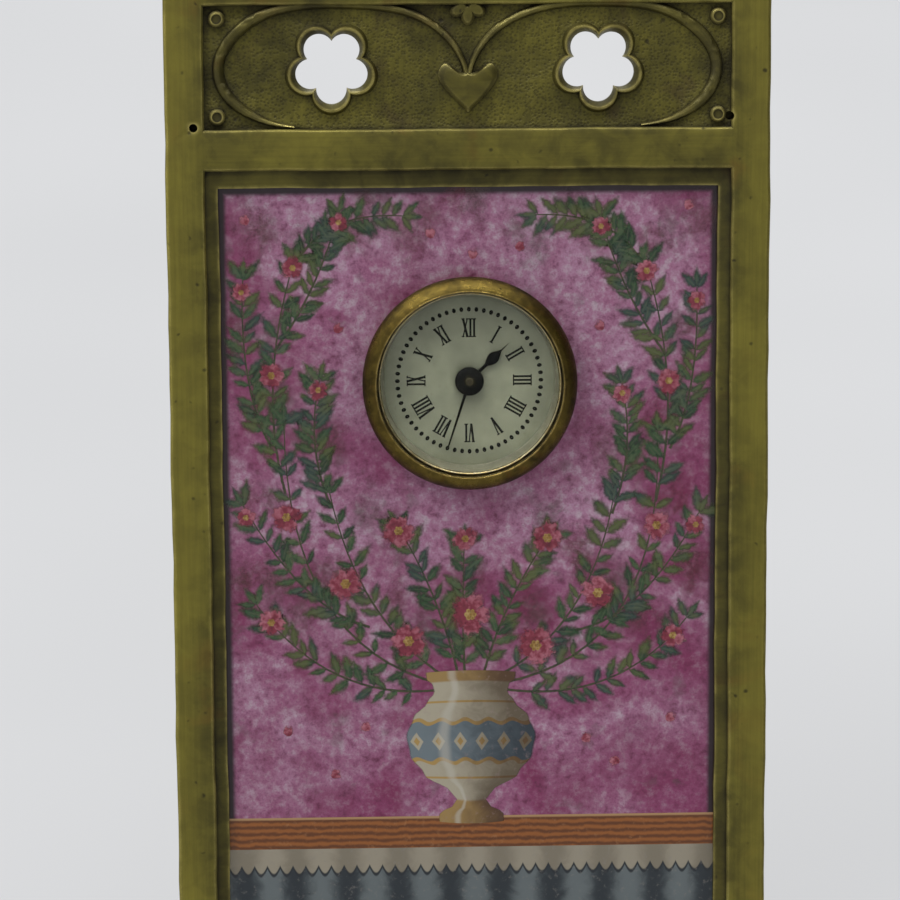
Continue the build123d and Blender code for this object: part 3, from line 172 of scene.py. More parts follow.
def new_group(name, given, results):
    """An empty node group with named sockets; returns its tree, its inputs and its output node."""
    tree = bpy.data.node_groups.new(name, "ShaderNodeTree")
    for label, kind, default in given:
        socket = tree.interface.new_socket(label, in_out="INPUT", socket_type="NodeSocket" + kind)
        if default is not None:
            socket.default_value = default
    for label, kind in results:
        tree.interface.new_socket(label, in_out="OUTPUT", socket_type="NodeSocket" + kind)
    entry = tree.nodes.new("NodeGroupInput")
    return tree, entry.outputs, tree.nodes.new("NodeGroupOutput")


def place_group(where, group, **inputs):
    """Adds a group beside these coordinates, which it reads if it has a socket for them."""
    made = node("Group", tree=where.id_data, node_tree=group)
    if "Vector" in made.inputs:
        inputs["Vector"] = where
    fill(made, inputs)
    return made.outputs


# Effects that several finishes share

VECTOR_IN = ("Vector", "Vector", None)


def make_own_axes():
    """Object coordinates turned into the leaning frame's own: across, back from its face, up."""
    tree, given, leave = new_group("own_axes", [VECTOR_IN], [("Place", "Vector")])
    shift = (0, SOLE * cos(LEAN) * MM, SOLE * sin(LEAN) * MM)
    turned = node("Mapping", {"Vector": given["Vector"], "Rotation": (LEAN, 0, 0), "Location": shift})
    fill(leave, {"Place": turned.outputs[0]})
    return tree


def make_wear_and_glint():
    """Where grime stays in hollows, and where edges are rubbed bright by handling and take painted highlights."""
    tree, given, leave = new_group("wear_and_glint", [("Reach", "Float", 1.2 * MM)],
                                   [("Hollow", "Float"), ("Edge", "Float")])
    closed = node("AmbientOcclusion", {"Distance": given["Reach"]}, samples=6, only_local=True)
    sharp = node("AmbientOcclusion", {"Distance": times(given["Reach"], 0.3)},
                 samples=6, inside=True, only_local=True)
    fill(leave, {"Hollow": spread(closed.outputs["AO"], 0.93, 0.5),
                 "Edge": spread(sharp.outputs["AO"], 0.92, 0.58)})
    return tree


def make_old_surface():
    """Cloudy tarnish, blotches, a fine grain and small dark pits."""
    tree, given, leave = new_group("old_surface", [VECTOR_IN, ("Scale", "Float", 1.0)],
                                   [(name, "Float") for name in ("Cloud", "Blotch", "Grain", "Pit")])
    sized = node("VectorMath", {0: given["Vector"], "Scale": given["Scale"]}, operation="SCALE").outputs[0]
    rare = spread(noise(sized, 330.0, 2.0), 0.56, 0.64)
    fill(leave, {
        "Cloud": spread(noise(sized, 55.0, 3.0), 0.3, 0.7),
        "Blotch": spread(noise(sized, 260.0, 5.0, 0.6, 0.4), 0.32, 0.68),
        "Grain": noise(sized, 2600.0, 3.0, 0.6),
        "Pit": times(spread(cells(sized, 420.0), 0.24, 0.08), rare),
    })
    return tree


def make_brushing():
    """Long fine strokes, up the frame and across it."""
    tree, given, leave = new_group("brushing", [VECTOR_IN], [("Streak", "Float"), ("Cross", "Float")])
    place = place_group(given["Vector"], OWN_AXES)["Place"]
    fine, long = 1900.0, 60.0
    for name, rates in (("Streak", (fine, fine, long)), ("Cross", (long, fine, fine))):
        fill(leave, {name: noise(vector_calc("MULTIPLY", place, rates), 1.0, 4.0, 0.6)})
    return tree


def make_turning_marks():
    """Fine rings about the clock's axis, as a lathe leaves them, and how far out each point is."""
    tree, given, leave = new_group("turning_marks", [VECTOR_IN], [("Ring", "Float"), ("Radius", "Float")])
    place = place_group(given["Vector"], OWN_AXES)["Place"]
    centred = vector_calc("ADD", place, (0, 0, -DIAL_Z * MM))
    flat = vector_calc("MULTIPLY", centred, (1.0, 0.0, 1.0))
    radius = node("VectorMath", {0: flat}, operation="LENGTH").outputs["Value"]
    ring = node("TexNoise", {"W": times(radius, 5200.0), "Detail": 4.0}, noise_dimensions="1D")
    fill(leave, {"Ring": ring.outputs[0], "Radius": radius})
    return tree


OWN_AXES = make_own_axes()
WEAR_AND_GLINT = make_wear_and_glint()
TURNING_MARKS = make_turning_marks()
OLD_SURFACE = make_old_surface()
BRUSHING = make_brushing()


# Finishes


def new_finish(name):
    """A material with its shader, and the object's own coordinates."""
    finish = bpy.data.materials.new(name)
    finish.use_nodes = True
    tree = finish.node_tree
    where = node("TexCoord", tree=tree).outputs["Object"]
    return finish, tree.nodes["Principled BSDF"], where


def set_shader(shader, **values):
    fill(shader, {name.replace("_", " "): value for name, value in values.items()})


def bumped(height, strength, distance):
    return node("Bump", {"Height": height, "Strength": strength, "Distance": distance}).outputs[0]


def frame_place(where):
    """How far each point is from the frame's middle line, back from its face, and up."""
    place = node("SeparateXYZ", {0: place_group(where, OWN_AXES)["Place"]}).outputs
    return calc("ABSOLUTE", place[0]), place[1], place[2]


def aged_metal(name, tone, dull, grime_and_shade, bright, rough, metallic=0.85, reach=1.2, pits=1.0, streaks=0.35,
               scale=1.0, depth=0.06, stipple=False, turned=False, warm=None, stile_sheen=None, lip=None):
    """Metal with tarnish clouds, grime in its hollows, pits, faint brushing and bright edges that are worn and
    also painted highlights; on the frame, a painted sheen on the stiles and painted shade on its sunk faces and
    in the stipple's pits.
    """
    finish, shader, where = new_finish(name)
    old = place_group(where, OLD_SURFACE, Scale=scale)
    wear_glint = place_group(where, WEAR_AND_GLINT, Reach=reach * MM)
    if turned:
        marks = place_group(where, TURNING_MARKS)
        streak = marks["Ring"]
    else:
        strokes = place_group(where, BRUSHING)
        streak = strokes["Streak"]
    if stile_sheen:
        across, back, up = frame_place(where)
        stile = span(across, STILE)
        streak = node("Mix", {0: stile, 2: strokes["Cross"], 3: strokes["Streak"]}).outputs[0]
        outer = span(across, STILE_SHEEN_SIDE)
        # Painted shade on faces set back behind the frame's face
        sunk = times(span(back, SUNK_FACE), span(back, SUNK_FLOOR))
        sunk = times(sunk, span(across, SUNK_SIDE))
        ledge = times(sunk, span(up, WINDOW_HEAD, 0.45, 0.4))
    cloudy = plus(times(old["Cloud"], 0.6), times(old["Blotch"], 0.4))
    colour = mixed(cloudy, dull, tone)
    if warm:
        patch = spread(noise(where, 70.0 * scale, 4.0, 0.6, 0.8), 0.56, 0.72, 0.0, 0.6)
        colour = mixed(patch, colour, warm)
    if stile_sheen:
        # Painted sheen: the stiles lighter than the rails
        colour = mixed(times(outer, 0.52), colour, stile_sheen)
        # Painted shade on the sunk ledge and crest
        colour = mixed(times(sunk, 0.44), colour, grime_and_shade)
    if lip:
        colour = mixed(span(marks["Radius"], PALE_LIP), colour, lip)
    brushed = spread(streak, 0.3, 0.7, 1 - 0.3 * streaks, 1 + 0.3 * streaks)
    grey = node("CombineColor", {0: brushed, 1: brushed, 2: brushed}).outputs[0]
    colour = mixed(1.0, colour, grey, "MULTIPLY")
    # Bright edges: rubbed wear, and painted edge highlights too
    rubbed_glint = times(wear_glint["Edge"], spread(old["Blotch"], 0.0, 1.0, 0.35, 0.95))
    if stile_sheen:
        rubbed_glint = times(rubbed_glint, calc("SUBTRACT", 1.0, ledge))
    colour = mixed(rubbed_glint, colour, bright)
    grimy = times(wear_glint["Hollow"], spread(old["Blotch"], 0.0, 1.0, 0.95, 0.7))
    colour = mixed(grimy, colour, grime_and_shade)
    colour = mixed(times(old["Pit"], 0.75 * pits), colour, grime_and_shade)
    height = plus(times(old["Grain"], 0.35), times(old["Blotch"], 0.5))
    height = calc("SUBTRACT", height, times(old["Pit"], 1.2 * pits))
    if turned:
        height = plus(height, times(marks["Ring"], 0.5))
    if stipple:
        dots = spread(cells(where, 1900.0, 0.9), 0.1, 0.65)
        height = plus(height, times(dots, 0.8))
        # Painted shade in the stipple's pits
        colour = mixed(times(calc("SUBTRACT", 1.0, dots), 0.45), colour, grime_and_shade)
    roughness = plus(spread(cloudy, 0.0, 1.0, rough + 0.14, rough), times(grimy, 0.2))
    roughness = calc("SUBTRACT", roughness, times(rubbed_glint, 0.12), clamp=True)
    set_shader(shader, Base_Color=colour, Roughness=roughness, Metallic=metallic,
               Normal=bumped(height, 0.5, depth * MM))
    return finish


def set_glaze(shader, speck, **values):
    """The glossy skin that everything on the plaque has."""
    set_shader(shader, Roughness=spread(speck, 0.3, 0.7, 0.3, 0.42), Coat_Weight=0.25,
               Coat_Roughness=0.12, Specular_IOR_Level=0.3, **values)


def fired_enamel():
    """Mottled rose enamel, clouded lighter and darker, with a fine grain and a dark rim of painted shade along
    the window's edge.
    """
    finish, shader, where = new_finish("fired_enamel")
    broad = spread(noise(where, 38.0, 4.0, 0.6, 0.6), 0.36, 0.64)
    patch = spread(noise(where, 130.0, 5.0, 0.65, 0.7), 0.36, 0.66)
    speck = noise(where, 560.0, 5.0, 0.68)
    fine = noise(where, 3200.0, 2.0, 0.6)
    colour = mixed(broad, (118, 34, 78), (166, 120, 148))
    colour = mixed(times(patch, 0.45), colour, (146, 76, 116))
    pale = times(spread(speck, 0.46, 0.72), spread(broad, 0.1, 1.0, 0.3, 0.95))
    colour = mixed(pale, colour, (182, 162, 174))
    colour = mixed(times(spread(speck, 0.5, 0.26), 0.85), colour, (90, 24, 58))
    colour = mixed(spread(fine, 0.5, 0.3, 0.0, 0.3), colour, (84, 40, 62))
    green = times(spread(noise(where, 210.0, 3.0), 0.6, 0.72), 0.3)
    colour = mixed(green, colour, (84, 82, 76))
    across, _, up = frame_place(where)
    # Painted shade: the enamel darkens towards the window's edge
    end = span(away(up, WINDOW_MID * MM), PLAQUE_END)
    rim = calc("MAXIMUM", span(across, PLAQUE_SIDE), end)
    colour = mixed(times(rim, 0.95), colour, (20, 9, 11))
    height = plus(times(fine, 0.4), times(patch, 0.8))
    set_glaze(shader, speck, Base_Color=colour, Normal=bumped(height, 0.25, 0.05 * MM))
    return finish


def painted(name, dark, mid, light, soft, veins=0.0, washes=()):
    """Brushed enamel paint: darker along the middle, thin at its edge, and washed with other tones in patches."""
    finish, shader, where = new_finish(name)
    rim, tint = attribute(where, "rim"), attribute(where, "tint")
    speck = noise(where, 1100.0, 4.0, 0.65)
    body = plus(times(rim, 0.6), times(tint, 0.5))
    body = plus(body, spread(speck, 0.3, 0.7, -0.25, 0.25), clamp=True)
    ramp = node("ValToRGB", {0: body})
    ramp.color_ramp.elements[0].color = srgb(*dark)
    ramp.color_ramp.elements[1].color = srgb(*light)
    ramp.color_ramp.elements.new(0.5).color = srgb(*mid)
    colour = ramp.outputs[0]
    for number, tone in enumerate(washes):
        patch = spread(noise(where, 110.0 + 50.0 * number, 3.0), 0.46, 0.62, 0.0, 0.75)
        colour = mixed(patch, colour, tone)
    if veins:
        colour = mixed(times(spread(rim, 0.16, 0.04), veins), colour, light)
    ragged = plus(rim, spread(noise(where, 1700.0, 2.0), 0.3, 0.7, -0.12, 0.12))
    alpha = times(spread(ragged, 1.0, soft), spread(speck, 0.25, 0.5, 0.82, 1.0))
    set_glaze(shader, speck, Base_Color=colour, Alpha=alpha)
    return finish


def painted_form(name, paint):
    """Paint whose colour and cover come from a function of the place across a form and up it."""
    finish, shader, where = new_finish(name)
    across, up = attribute(where, "rim"), attribute(where, "tint")
    speck = noise(where, 1000.0, 4.0, 0.65)
    stroke = noise(where, 330.0, 4.0, 0.6, 0.8)
    colour, alpha = paint(across, up, speck, stroke)
    set_glaze(shader, speck, Base_Color=colour, Alpha=alpha)
    return finish


def dial_enamel():
    """Cream dial enamel, yellowed in clouds and specked with age."""
    finish, shader, where = new_finish("dial_enamel")
    cloud = spread(noise(where, 190.0, 4.0, 0.6), 0.3, 0.7)
    speck = noise(where, 2300.0, 3.0, 0.65)
    colour = mixed(cloud, (113, 115, 94), (129, 131, 108))
    colour = mixed(times(spread(speck, 0.6, 0.75), 0.5), colour, (94, 90, 70))
    spots = spread(cells(where, 260.0), 0.07, 0.02)
    colour = mixed(times(spots, 0.7), colour, (78, 70, 48))
    set_shader(shader, Base_Color=colour, Roughness=spread(speck, 0.3, 0.7, 0.35, 0.5),
               Normal=bumped(speck, 0.15, 0.03 * MM))
    return finish


def dial_ink():
    """Black printing, worn thin in places."""
    finish, shader, where = new_finish("dial_ink")
    thin = spread(noise(where, 1500.0, 4.0, 0.7), 0.4, 0.75)
    colour = mixed(thin, (12, 12, 9), (34, 32, 24))
    set_shader(shader, Base_Color=colour, Roughness=spread(thin, 0.0, 1.0, 0.5, 0.7),
               Specular_IOR_Level=0.1)
    return finish


def black_lacquer():
    """Black lacquer on thin metal, rubbed at its edges and worn to the brass over the arbor."""
    finish, shader, where = new_finish("black_lacquer")
    wear_glint = place_group(where, WEAR_AND_GLINT, Reach=0.5 * MM)
    old = place_group(where, OLD_SURFACE, Scale=4.0)
    colour = mixed(old["Cloud"], (6, 7, 6), (15, 15, 12))
    colour = mixed(times(wear_glint["Edge"], 0.3), colour, (78, 72, 50))
    radius = place_group(where, TURNING_MARKS)["Radius"]
    ragged = plus(radius, spread(noise(where, 1400.0, 3.0), 0.3, 0.7, -0.4 * MM, 0.4 * MM))
    colour = mixed(span(ragged, BARE_BOSS, 0.0, 0.85), colour, (34, 31, 18))
    set_shader(shader, Base_Color=colour, Roughness=spread(old["Blotch"], 0.0, 1.0, 0.5, 0.65),
               Normal=bumped(old["Grain"], 0.15, 0.02 * MM), Specular_IOR_Level=0.06)
    return finish


def domed_glass():
    """Clear glass that lets light through to the dial, with a faint film on it."""
    finish, shader, where = new_finish("domed_glass")
    film = spread(noise(where, 240.0, 3.0), 0.35, 0.7, 0.0, 0.012)
    set_shader(shader, Base_Color=(0.97, 0.98, 0.97, 1.0), Roughness=film, Metallic=0.0,
               Transmission_Weight=1.0, IOR=1.1)
    tree = finish.node_tree
    clear = node("BsdfTransparent", tree=tree)
    shadow = node("LightPath", tree=tree).outputs["Is Shadow Ray"]
    either = node("MixShader", {0: shadow, 1: shader.outputs[0], 2: clear.outputs[0]})
    fill(tree.nodes["Material Output"], {"Surface": either.outputs[0]})
    return finish


def pressed_board():
    """Brown fibre board, mottled and a little frayed."""
    finish, shader, where = new_finish("pressed_board")
    old = place_group(where, OLD_SURFACE, Scale=2.0)
    colour = mixed(old["Blotch"], (96, 76, 50), (132, 108, 74))
    set_shader(shader, Base_Color=colour, Roughness=spread(old["Grain"], 0.3, 0.7, 0.75, 0.95),
               Normal=bumped(old["Grain"], 0.5, 0.1 * MM))
    return finish


# Each metal: its tone, then dulled, in its hollows and where it is rubbed bright; the hollow tone also paints
# shade on the frame's sunk faces, and the bright one also paints edge highlights
CAST_BRASS = aged_metal(
    "cast_brass", (118, 110, 40), (62, 57, 18), (24, 19, 4), (186, 172, 100),
    rough=0.4, metallic=0.6, reach=2.4, streaks=0.3, warm=(100, 78, 26), stile_sheen=(126, 117, 42))
STIPPLED_BRASS = aged_metal(
    "stippled_brass", (106, 99, 33), (58, 54, 15), (24, 19, 4), (154, 144, 80),
    rough=0.5, metallic=0.6, reach=2.4, depth=0.12, stipple=True, warm=(66, 54, 26))
SHEET_BRASS = aged_metal(
    "sheet_brass", (140, 122, 62), (108, 93, 44), (50, 41, 17), (186, 166, 100),
    rough=0.3, streaks=0.45, warm=(126, 90, 44))
BEZEL_BRASS = aged_metal(
    "bezel_brass", (106, 89, 37), (48, 39, 15), (22, 17, 6), (188, 164, 100),
    rough=0.25, metallic=0.9, streaks=0.5, scale=2.6, depth=0.14, turned=True, warm=(92, 64, 26),
    lip=(178, 172, 146))
DRUM_BRASS = aged_metal(
    "drum_brass", (146, 125, 63), (114, 96, 46), (52, 42, 17), (190, 166, 100),
    rough=0.28, metallic=0.9, streaks=0.5, pits=0.6, turned=True, warm=(108, 78, 38))
MOVEMENT_BRASS = aged_metal(
    "movement_brass", (172, 142, 74), (146, 118, 58), (80, 62, 28), (206, 178, 108),
    rough=0.3, reach=0.6, pits=0.2, scale=3.0)
KEY_BRASS = aged_metal(
    "key_brass", (150, 126, 62), (118, 98, 46), (52, 42, 17), (198, 172, 104),
    rough=0.26, metallic=0.9, scale=1.5)
DARK_BRASS = aged_metal(
    "dark_brass", (58, 52, 30), (38, 34, 19), (16, 13, 6), (92, 82, 48),
    rough=0.5, metallic=0.6, reach=0.5, scale=4.0)
SILVERED = aged_metal(
    "silvered_brass", (140, 138, 117), (112, 110, 91), (66, 63, 48), (176, 171, 150),
    rough=0.36, metallic=0.3, pits=0.2, streaks=0.2, scale=2.0, turned=True)
STEEL = aged_metal(
    "bright_steel", (132, 132, 129), (104, 104, 102), (54, 52, 48), (178, 178, 174),
    rough=0.3, metallic=0.7, reach=0.6, scale=3.0)
BLUED_STEEL = aged_metal(
    "blued_steel", (54, 64, 96), (40, 46, 70), (20, 22, 32), (96, 104, 132),
    rough=0.28, reach=0.4, scale=4.0)
ENAMEL = fired_enamel()
GLASS = domed_glass()
BOARD = pressed_board()
LACQUER = black_lacquer()
DIAL_FACE = dial_enamel()
INK = dial_ink()


# Modelling helpers


def only(*pieces):
    """Selects these pieces and nothing else."""
    if bpy.context.object and bpy.context.object.mode != "OBJECT":
        bpy.ops.object.mode_set(mode="OBJECT")
    bpy.ops.object.select_all(action="DESELECT")
    for piece in pieces:
        piece.select_set(True)
    bpy.context.view_layer.objects.active = pieces[0]


def edit_all(piece):
    """Opens a piece for editing, with all of its mesh selected."""
    only(piece)
    bpy.ops.object.mode_set(mode="EDIT")
    bpy.ops.mesh.select_all(action="SELECT")


def done_editing():
    bpy.ops.object.mode_set(mode="OBJECT")


def start(primitive, **settings):
    """Adds a primitive at its size, selected on its own."""
    bpy.ops.object.select_all(action="DESELECT")
    getattr(bpy.ops.mesh, f"primitive_{primitive}_add")(**settings)
    return bpy.context.object


def settle(piece, place):
    """Puts a piece where it belongs, with its place in its mesh."""
    only(piece)
    piece.matrix_world = place
    bpy.context.view_layer.update()
    bpy.ops.object.transform_apply(location=True, rotation=True, scale=True)


def hand_over(piece, name, finish, body="root", nodes=()):
    """Names a finished piece, gives it its finish and says what it rides on and stands for."""
    piece.name = piece.data.name = name
    if finish is not None:
        piece.data.materials.clear()
        piece.data.materials.append(finish)
    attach(piece, body)
    if nodes:
        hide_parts(*nodes)


def traced(node_name, step):
    """A merged copy of a CAD node's mesh, cut into a grid of plain faces a few millimetres apart."""
    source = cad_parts[node_name]
    piece = bpy.data.objects.new(node_name + "_copy", source.data.copy())
    bpy.context.scene.collection.objects.link(piece)
    upright = [STAND.inverted() @ vertex.co / MM for vertex in piece.data.vertices]
    edit_all(piece)
    bpy.ops.mesh.remove_doubles(threshold=MERGE)
    for axis, middle in ((0, 0.0), (2, DIAL_Z)):
        low = min(point[axis] for point in upright) + 0.3
        high = max(point[axis] for point in upright) - 0.3
        way = Vector((0, 0, 0))
        way[axis] = 1
        for number in range(-60, 61):
            place = middle + number * step
            if low < place < high:
                bpy.ops.mesh.select_all(action="SELECT")
                spot = STAND @ (way * place * MM)
                bpy.ops.mesh.bisect(plane_co=spot, plane_no=STAND.to_3x3() @ way, threshold=1e-6)
                bpy.ops.mesh.mark_seam()
    bpy.ops.mesh.select_all(action="SELECT")
    bpy.ops.mesh.dissolve_limited(angle_limit=radians(0.6), delimit={"SEAM"})
    done_editing()
    return piece


def ease_edges(piece, width):
    """Rounds a piece's sharp edges and smooths what is round."""
    only(piece)
    bevel = piece.modifiers.new("eased", "BEVEL")
    bevel.width = width * MM
    bevel.segments = 2
    bevel.limit_method = "ANGLE"
    bevel.angle_limit = SHARP
    bevel.use_clamp_overlap = True
    bevel.miter_outer = "MITER_ARC"
    bpy.ops.object.modifier_apply(modifier=bevel.name)
    bpy.ops.object.shade_smooth_by_angle(angle=SMOOTH)


def eased(node_name, finish, width, body="root", step=4.0):
    """A CAD node with its edges rounded, standing for that node."""
    piece = traced(node_name, step)
    ease_edges(piece, width)
    hand_over(piece, node_name + "_eased", finish, body, [node_name])


def lathe(profile, steps):
    """A turned piece from a closed half section given as radius and depth, about the clock's axis."""
    piece = start("circle", vertices=len(profile), radius=0.01, fill_type="NOTHING")
    for vertex, (radius, depth) in zip(piece.data.vertices, profile):
        vertex.co = (radius * MM, depth * MM, 0)
    edit_all(piece)
    bpy.ops.mesh.spin(steps=steps, angle=2 * pi, center=(0, 0, 0), axis=(0, 1, 0))
    bpy.ops.mesh.select_all(action="SELECT")
    bpy.ops.mesh.remove_doubles(threshold=MERGE)
    bpy.ops.mesh.normals_make_consistent(inside=False)
    done_editing()
    bpy.ops.object.shade_smooth_by_angle(angle=SMOOTH)
    settle(piece, CLOCK)
    return piece


def arc(centre, radius, first, last, steps):
    """Points on an arc of a section, the angles in degrees."""
    turns = [radians(first + (last - first) * step / steps) for step in range(steps + 1)]
    return [(centre[0] + radius * cos(turn), centre[1] + radius * sin(turn)) for turn in turns]


def joined(pieces):
    """Several pieces made one."""
    only(*pieces)
    bpy.ops.object.join()
    return bpy.context.object


def twin(piece, place):
    """A copy of a piece with its own mesh, moved by a matrix."""
    other = bpy.data.objects.new(piece.name, piece.data.copy())
    bpy.context.scene.collection.objects.link(other)
    other.data.transform(place)
    return other


def drop(*pieces):
    for piece in pieces:
        bpy.data.objects.remove(piece)


# Frame casting


def cast_frame():
    """The casting: edges rounded by long handling, faces a little uneven, and the crest's ground stippled."""
    piece = traced("frame_casting", 5.0)
    ease_edges(piece, 0.16)
    piece.data.transform(STAND.inverted())
    for vertex in piece.data.vertices:
        x, _, z = vertex.co / MM
        sway = 0.10 * sin(z * 0.21 + 0.4) * sin(z * 0.067 + x * 0.03) + 0.05 * sin(z * 0.53 + x * 0.19)
        rise = 0.08 * sin(x * 0.17 + 1.1) * sin(x * 0.049 + z * 0.02) + 0.04 * sin(x * 0.47 + z * 0.11)
        inward = DRAWN_IN if x > 0 else -DRAWN_IN
        vertex.co.x += (sway - inward) * MM * min(1.0, abs(x) / 40)
        vertex.co.z += (rise * min(1.0, max(0.0, z - 3) / 10) - DRAWN_DOWN * max(0.0, z - 100) / 80) * MM
    piece.data.materials.clear()
    for finish in (CAST_BRASS, STIPPLED_BRASS):
        piece.data.materials.append(finish)
    for face in piece.data.polygons:
        x, y, z = face.center / MM
        ground = abs(y - CREST_DEPTH) < 0.05 and abs(x) < CREST_SIDE and CREST_LOW < z < CREST_HIGH
        face.material_index = 1 if ground and face.normal.y < -0.95 else 0
    piece.data.transform(STAND)
    hand_over(piece, "cast_frame", None, nodes=["frame_casting"])


# Painted plaque


def face_front(mesh):
    """Turns a flat mesh's faces to the front."""
    if sum(face.normal.y * face.area for face in mesh.polygons) > 0:
        mesh.flip_normals()


def paint_layers(mesh):
    """The two values that paint reads at each point: how near it is to the rim, and its tint."""
    return [mesh.attributes.new(name, "FLOAT", "POINT") for name in ("rim", "tint")]


def patch_form(columns, rows, place, rim, tint=lambda across, along: 0.5):
    """A grid set by functions of across (-1 to 1) and along (0 to 1): its place, nearness to the rim and tint."""
    piece = start("grid", x_subdivisions=columns, y_subdivisions=rows, size=2)
    mesh = piece.data
    nearness, shade = paint_layers(mesh)
    for vertex in mesh.vertices:
        across, along = vertex.co.x, (vertex.co.y + 1) / 2
        x, z, lift = place(across, along)
        nearness.data[vertex.index].value = rim(across, along)
        shade.data[vertex.index].value = tint(across, along)
        vertex.co = (x * MM, -lift * MM, z * MM)
    edit_all(piece)
    bpy.ops.mesh.normals_make_consistent(inside=False)
    done_editing()
    face_front(mesh)
    bpy.ops.object.shade_smooth()
    return piece


def round_dab(vertices, radius, crown, cuts=0):
    """A round dab of paint, crowned a little; cuts give it rings, so that it can fade to nothing."""
    piece = start("circle", vertices=vertices, radius=radius * MM, fill_type="TRIFAN")
    if cuts:
        edit_all(piece)
        bpy.ops.mesh.subdivide(number_cuts=cuts)
        done_editing()
    mesh = piece.data
    nearness, _ = paint_layers(mesh)
    for vertex in mesh.vertices:
        out = vertex.co.length / (radius * MM)
        nearness.data[vertex.index].value = out
        vertex.co = (vertex.co.x, -crown * MM * (1 - out), vertex.co.y)
    face_front(mesh)
    only(piece)
    bpy.ops.object.shade_smooth()
    return piece


def leaf_form():
    """A pointed leaf, one millimetre long and crowned along its midrib."""
    def place(across, along):
        half = 0.25 * sin(pi * along ** 0.8) ** 0.9
        return across * half, along, 0.02 * (1 - across * across)
    return patch_form(2, 6, place, lambda across, along: max(abs(across), 2.2 * along - 1.2, 0.4 - 5 * along))


def petal_form():
    """A round petal with a nick in its edge, one millimetre long."""
    def place(across, along):
        half = 0.46 * sin(pi * (0.06 + 0.86 * along ** 0.9)) ** 0.7
        nick = 0.08 * along * (1 - abs(across)) ** 2
        return across * half, 0.12 + along * 0.88 - nick, 0.03 * (1 - across * across)
    return patch_form(4, 4, place, lambda across, along: max(abs(across), along))


def tinted(piece, value):
    """Gives all of a copy one tint."""
    for point in piece.data.attributes["tint"].data:
        point.value = value
    return piece


def lay(form, x, z, way, length, width, lift, tint):
    """Lays a copy of a leaf or petal on the plaque, growing a given way, counted in degrees from the right."""
    size = Matrix.Diagonal((length * width, 1.0, length, 1.0))
    turn = Matrix.Rotation(radians(90 - way), 4, "Y")
    place = Matrix.Translation((x * MM, (PAINT_FRONT - lift) * MM, z * MM))
    return tinted(twin(form, place @ turn @ size), tint)


def on_plaque(piece, name, paint):
    """Leans a painted piece with the plaque and hands it over."""
    settle(piece, STAND)
    hand_over(piece, name, paint)


def bowed(start_point, bend, end_point, steps):
    """Points along a bowed stem, with the way that it grows at each."""
    points = []
    for step in range(steps + 1):
        t = step / steps
        ends = list(zip(start_point, bend, end_point))
        x, z = [(1 - t) ** 2 * a + 2 * t * (1 - t) * b + t * t * c for a, b, c in ends]
        dx, dz = [2 * (1 - t) * (b - a) + 2 * t * (c - b) for a, b, c in ends]
        points.append((x, z, degrees(atan2(dz, dx))))
    return points


def painted_stem(points, thick, thin):
    """One brushed line along a stem."""
    count = len(points) - 1

    def place(across, along):
        x, z, way = points[min(count, round(along * count))]
        half = (thick + (thin - thick) * along) / 2 * across
        return x - half * sin(radians(way)), z + half * cos(radians(way)), 0.01 * (1 - across * across)
    piece = patch_form(2, count, place, lambda across, along: abs(across))
    piece.data.transform(Matrix.Translation((0, PAINT_FRONT * MM, 0)))
    return piece


# Each spray: where its stem starts, bends and ends
SPRAYS = [
    ((-2, 60), (-5, 74), (-12, 86)), ((2, 60), (5, 72), (13, 84)),
    ((-1, 60), (-1.5, 70), (-1, 83)), ((-4, 60), (-19, 70), (-23.5, 92)),
    ((4, 60), (20, 68), (24, 90)), ((-5, 59), (-31, 66), (-31, 104)),
    ((5, 59), (33, 64), (31.5, 102)), ((-5.5, 58), (-24, 56), (-36, 73)),
    ((5.5, 58), (25, 55), (36.5, 70)), ((-30.9, 92), (-35.5, 110), (-29, 131)),
    ((31.2, 90), (36, 109), (29.5, 130)), ((-33.2, 100), (-38.5, 110), (-37.5, 128)),
    ((33.6, 99), (38.5, 108), (38, 126)), ((-32.5, 116), (-25, 126), (-21.5, 139)),
    ((32.8, 115), (25.5, 125), (22, 138)), ((-29.5, 129), (-25, 139.5), (-11, 138.5)),
    ((30, 128), (25.5, 139), (11.5, 138.5)), ((-23.4, 90), (-27.5, 100), (-25, 111)),
    ((23.9, 88), (28, 99), (25.5, 110)), ((-17, 69), (-28, 72), (-38, 90)),
    ((17.5, 68), (29, 70), (38.5, 88)),
]
# Each blossom: where it is, and how wide
BLOSSOMS = [
    (0, 71, 5.6), (-10.5, 66.5, 5), (11, 65.5, 5.2), (-12, 85.5, 4.3), (13, 84, 4.4),
    (-21, 76.5, 4.6), (21.5, 74.5, 4.7), (-30.8, 88, 4), (31.4, 86, 4.1), (-33.6, 70, 3.6),
    (34.2, 67, 3.5), (-0.8, 84, 3.4), (-33, 112, 3.4), (33.4, 110.5, 3.4), (-29.2, 130, 3),
    (29.6, 129, 3), (-21.5, 137.5, 2.6), (22, 136.5, 2.6), (-37.8, 126, 2.6), (38, 124, 2.6),
    (-25.2, 109.5, 2.8), (25.6, 108.5, 2.8), (-37.6, 88, 2.8), (38, 86, 2.8),
]
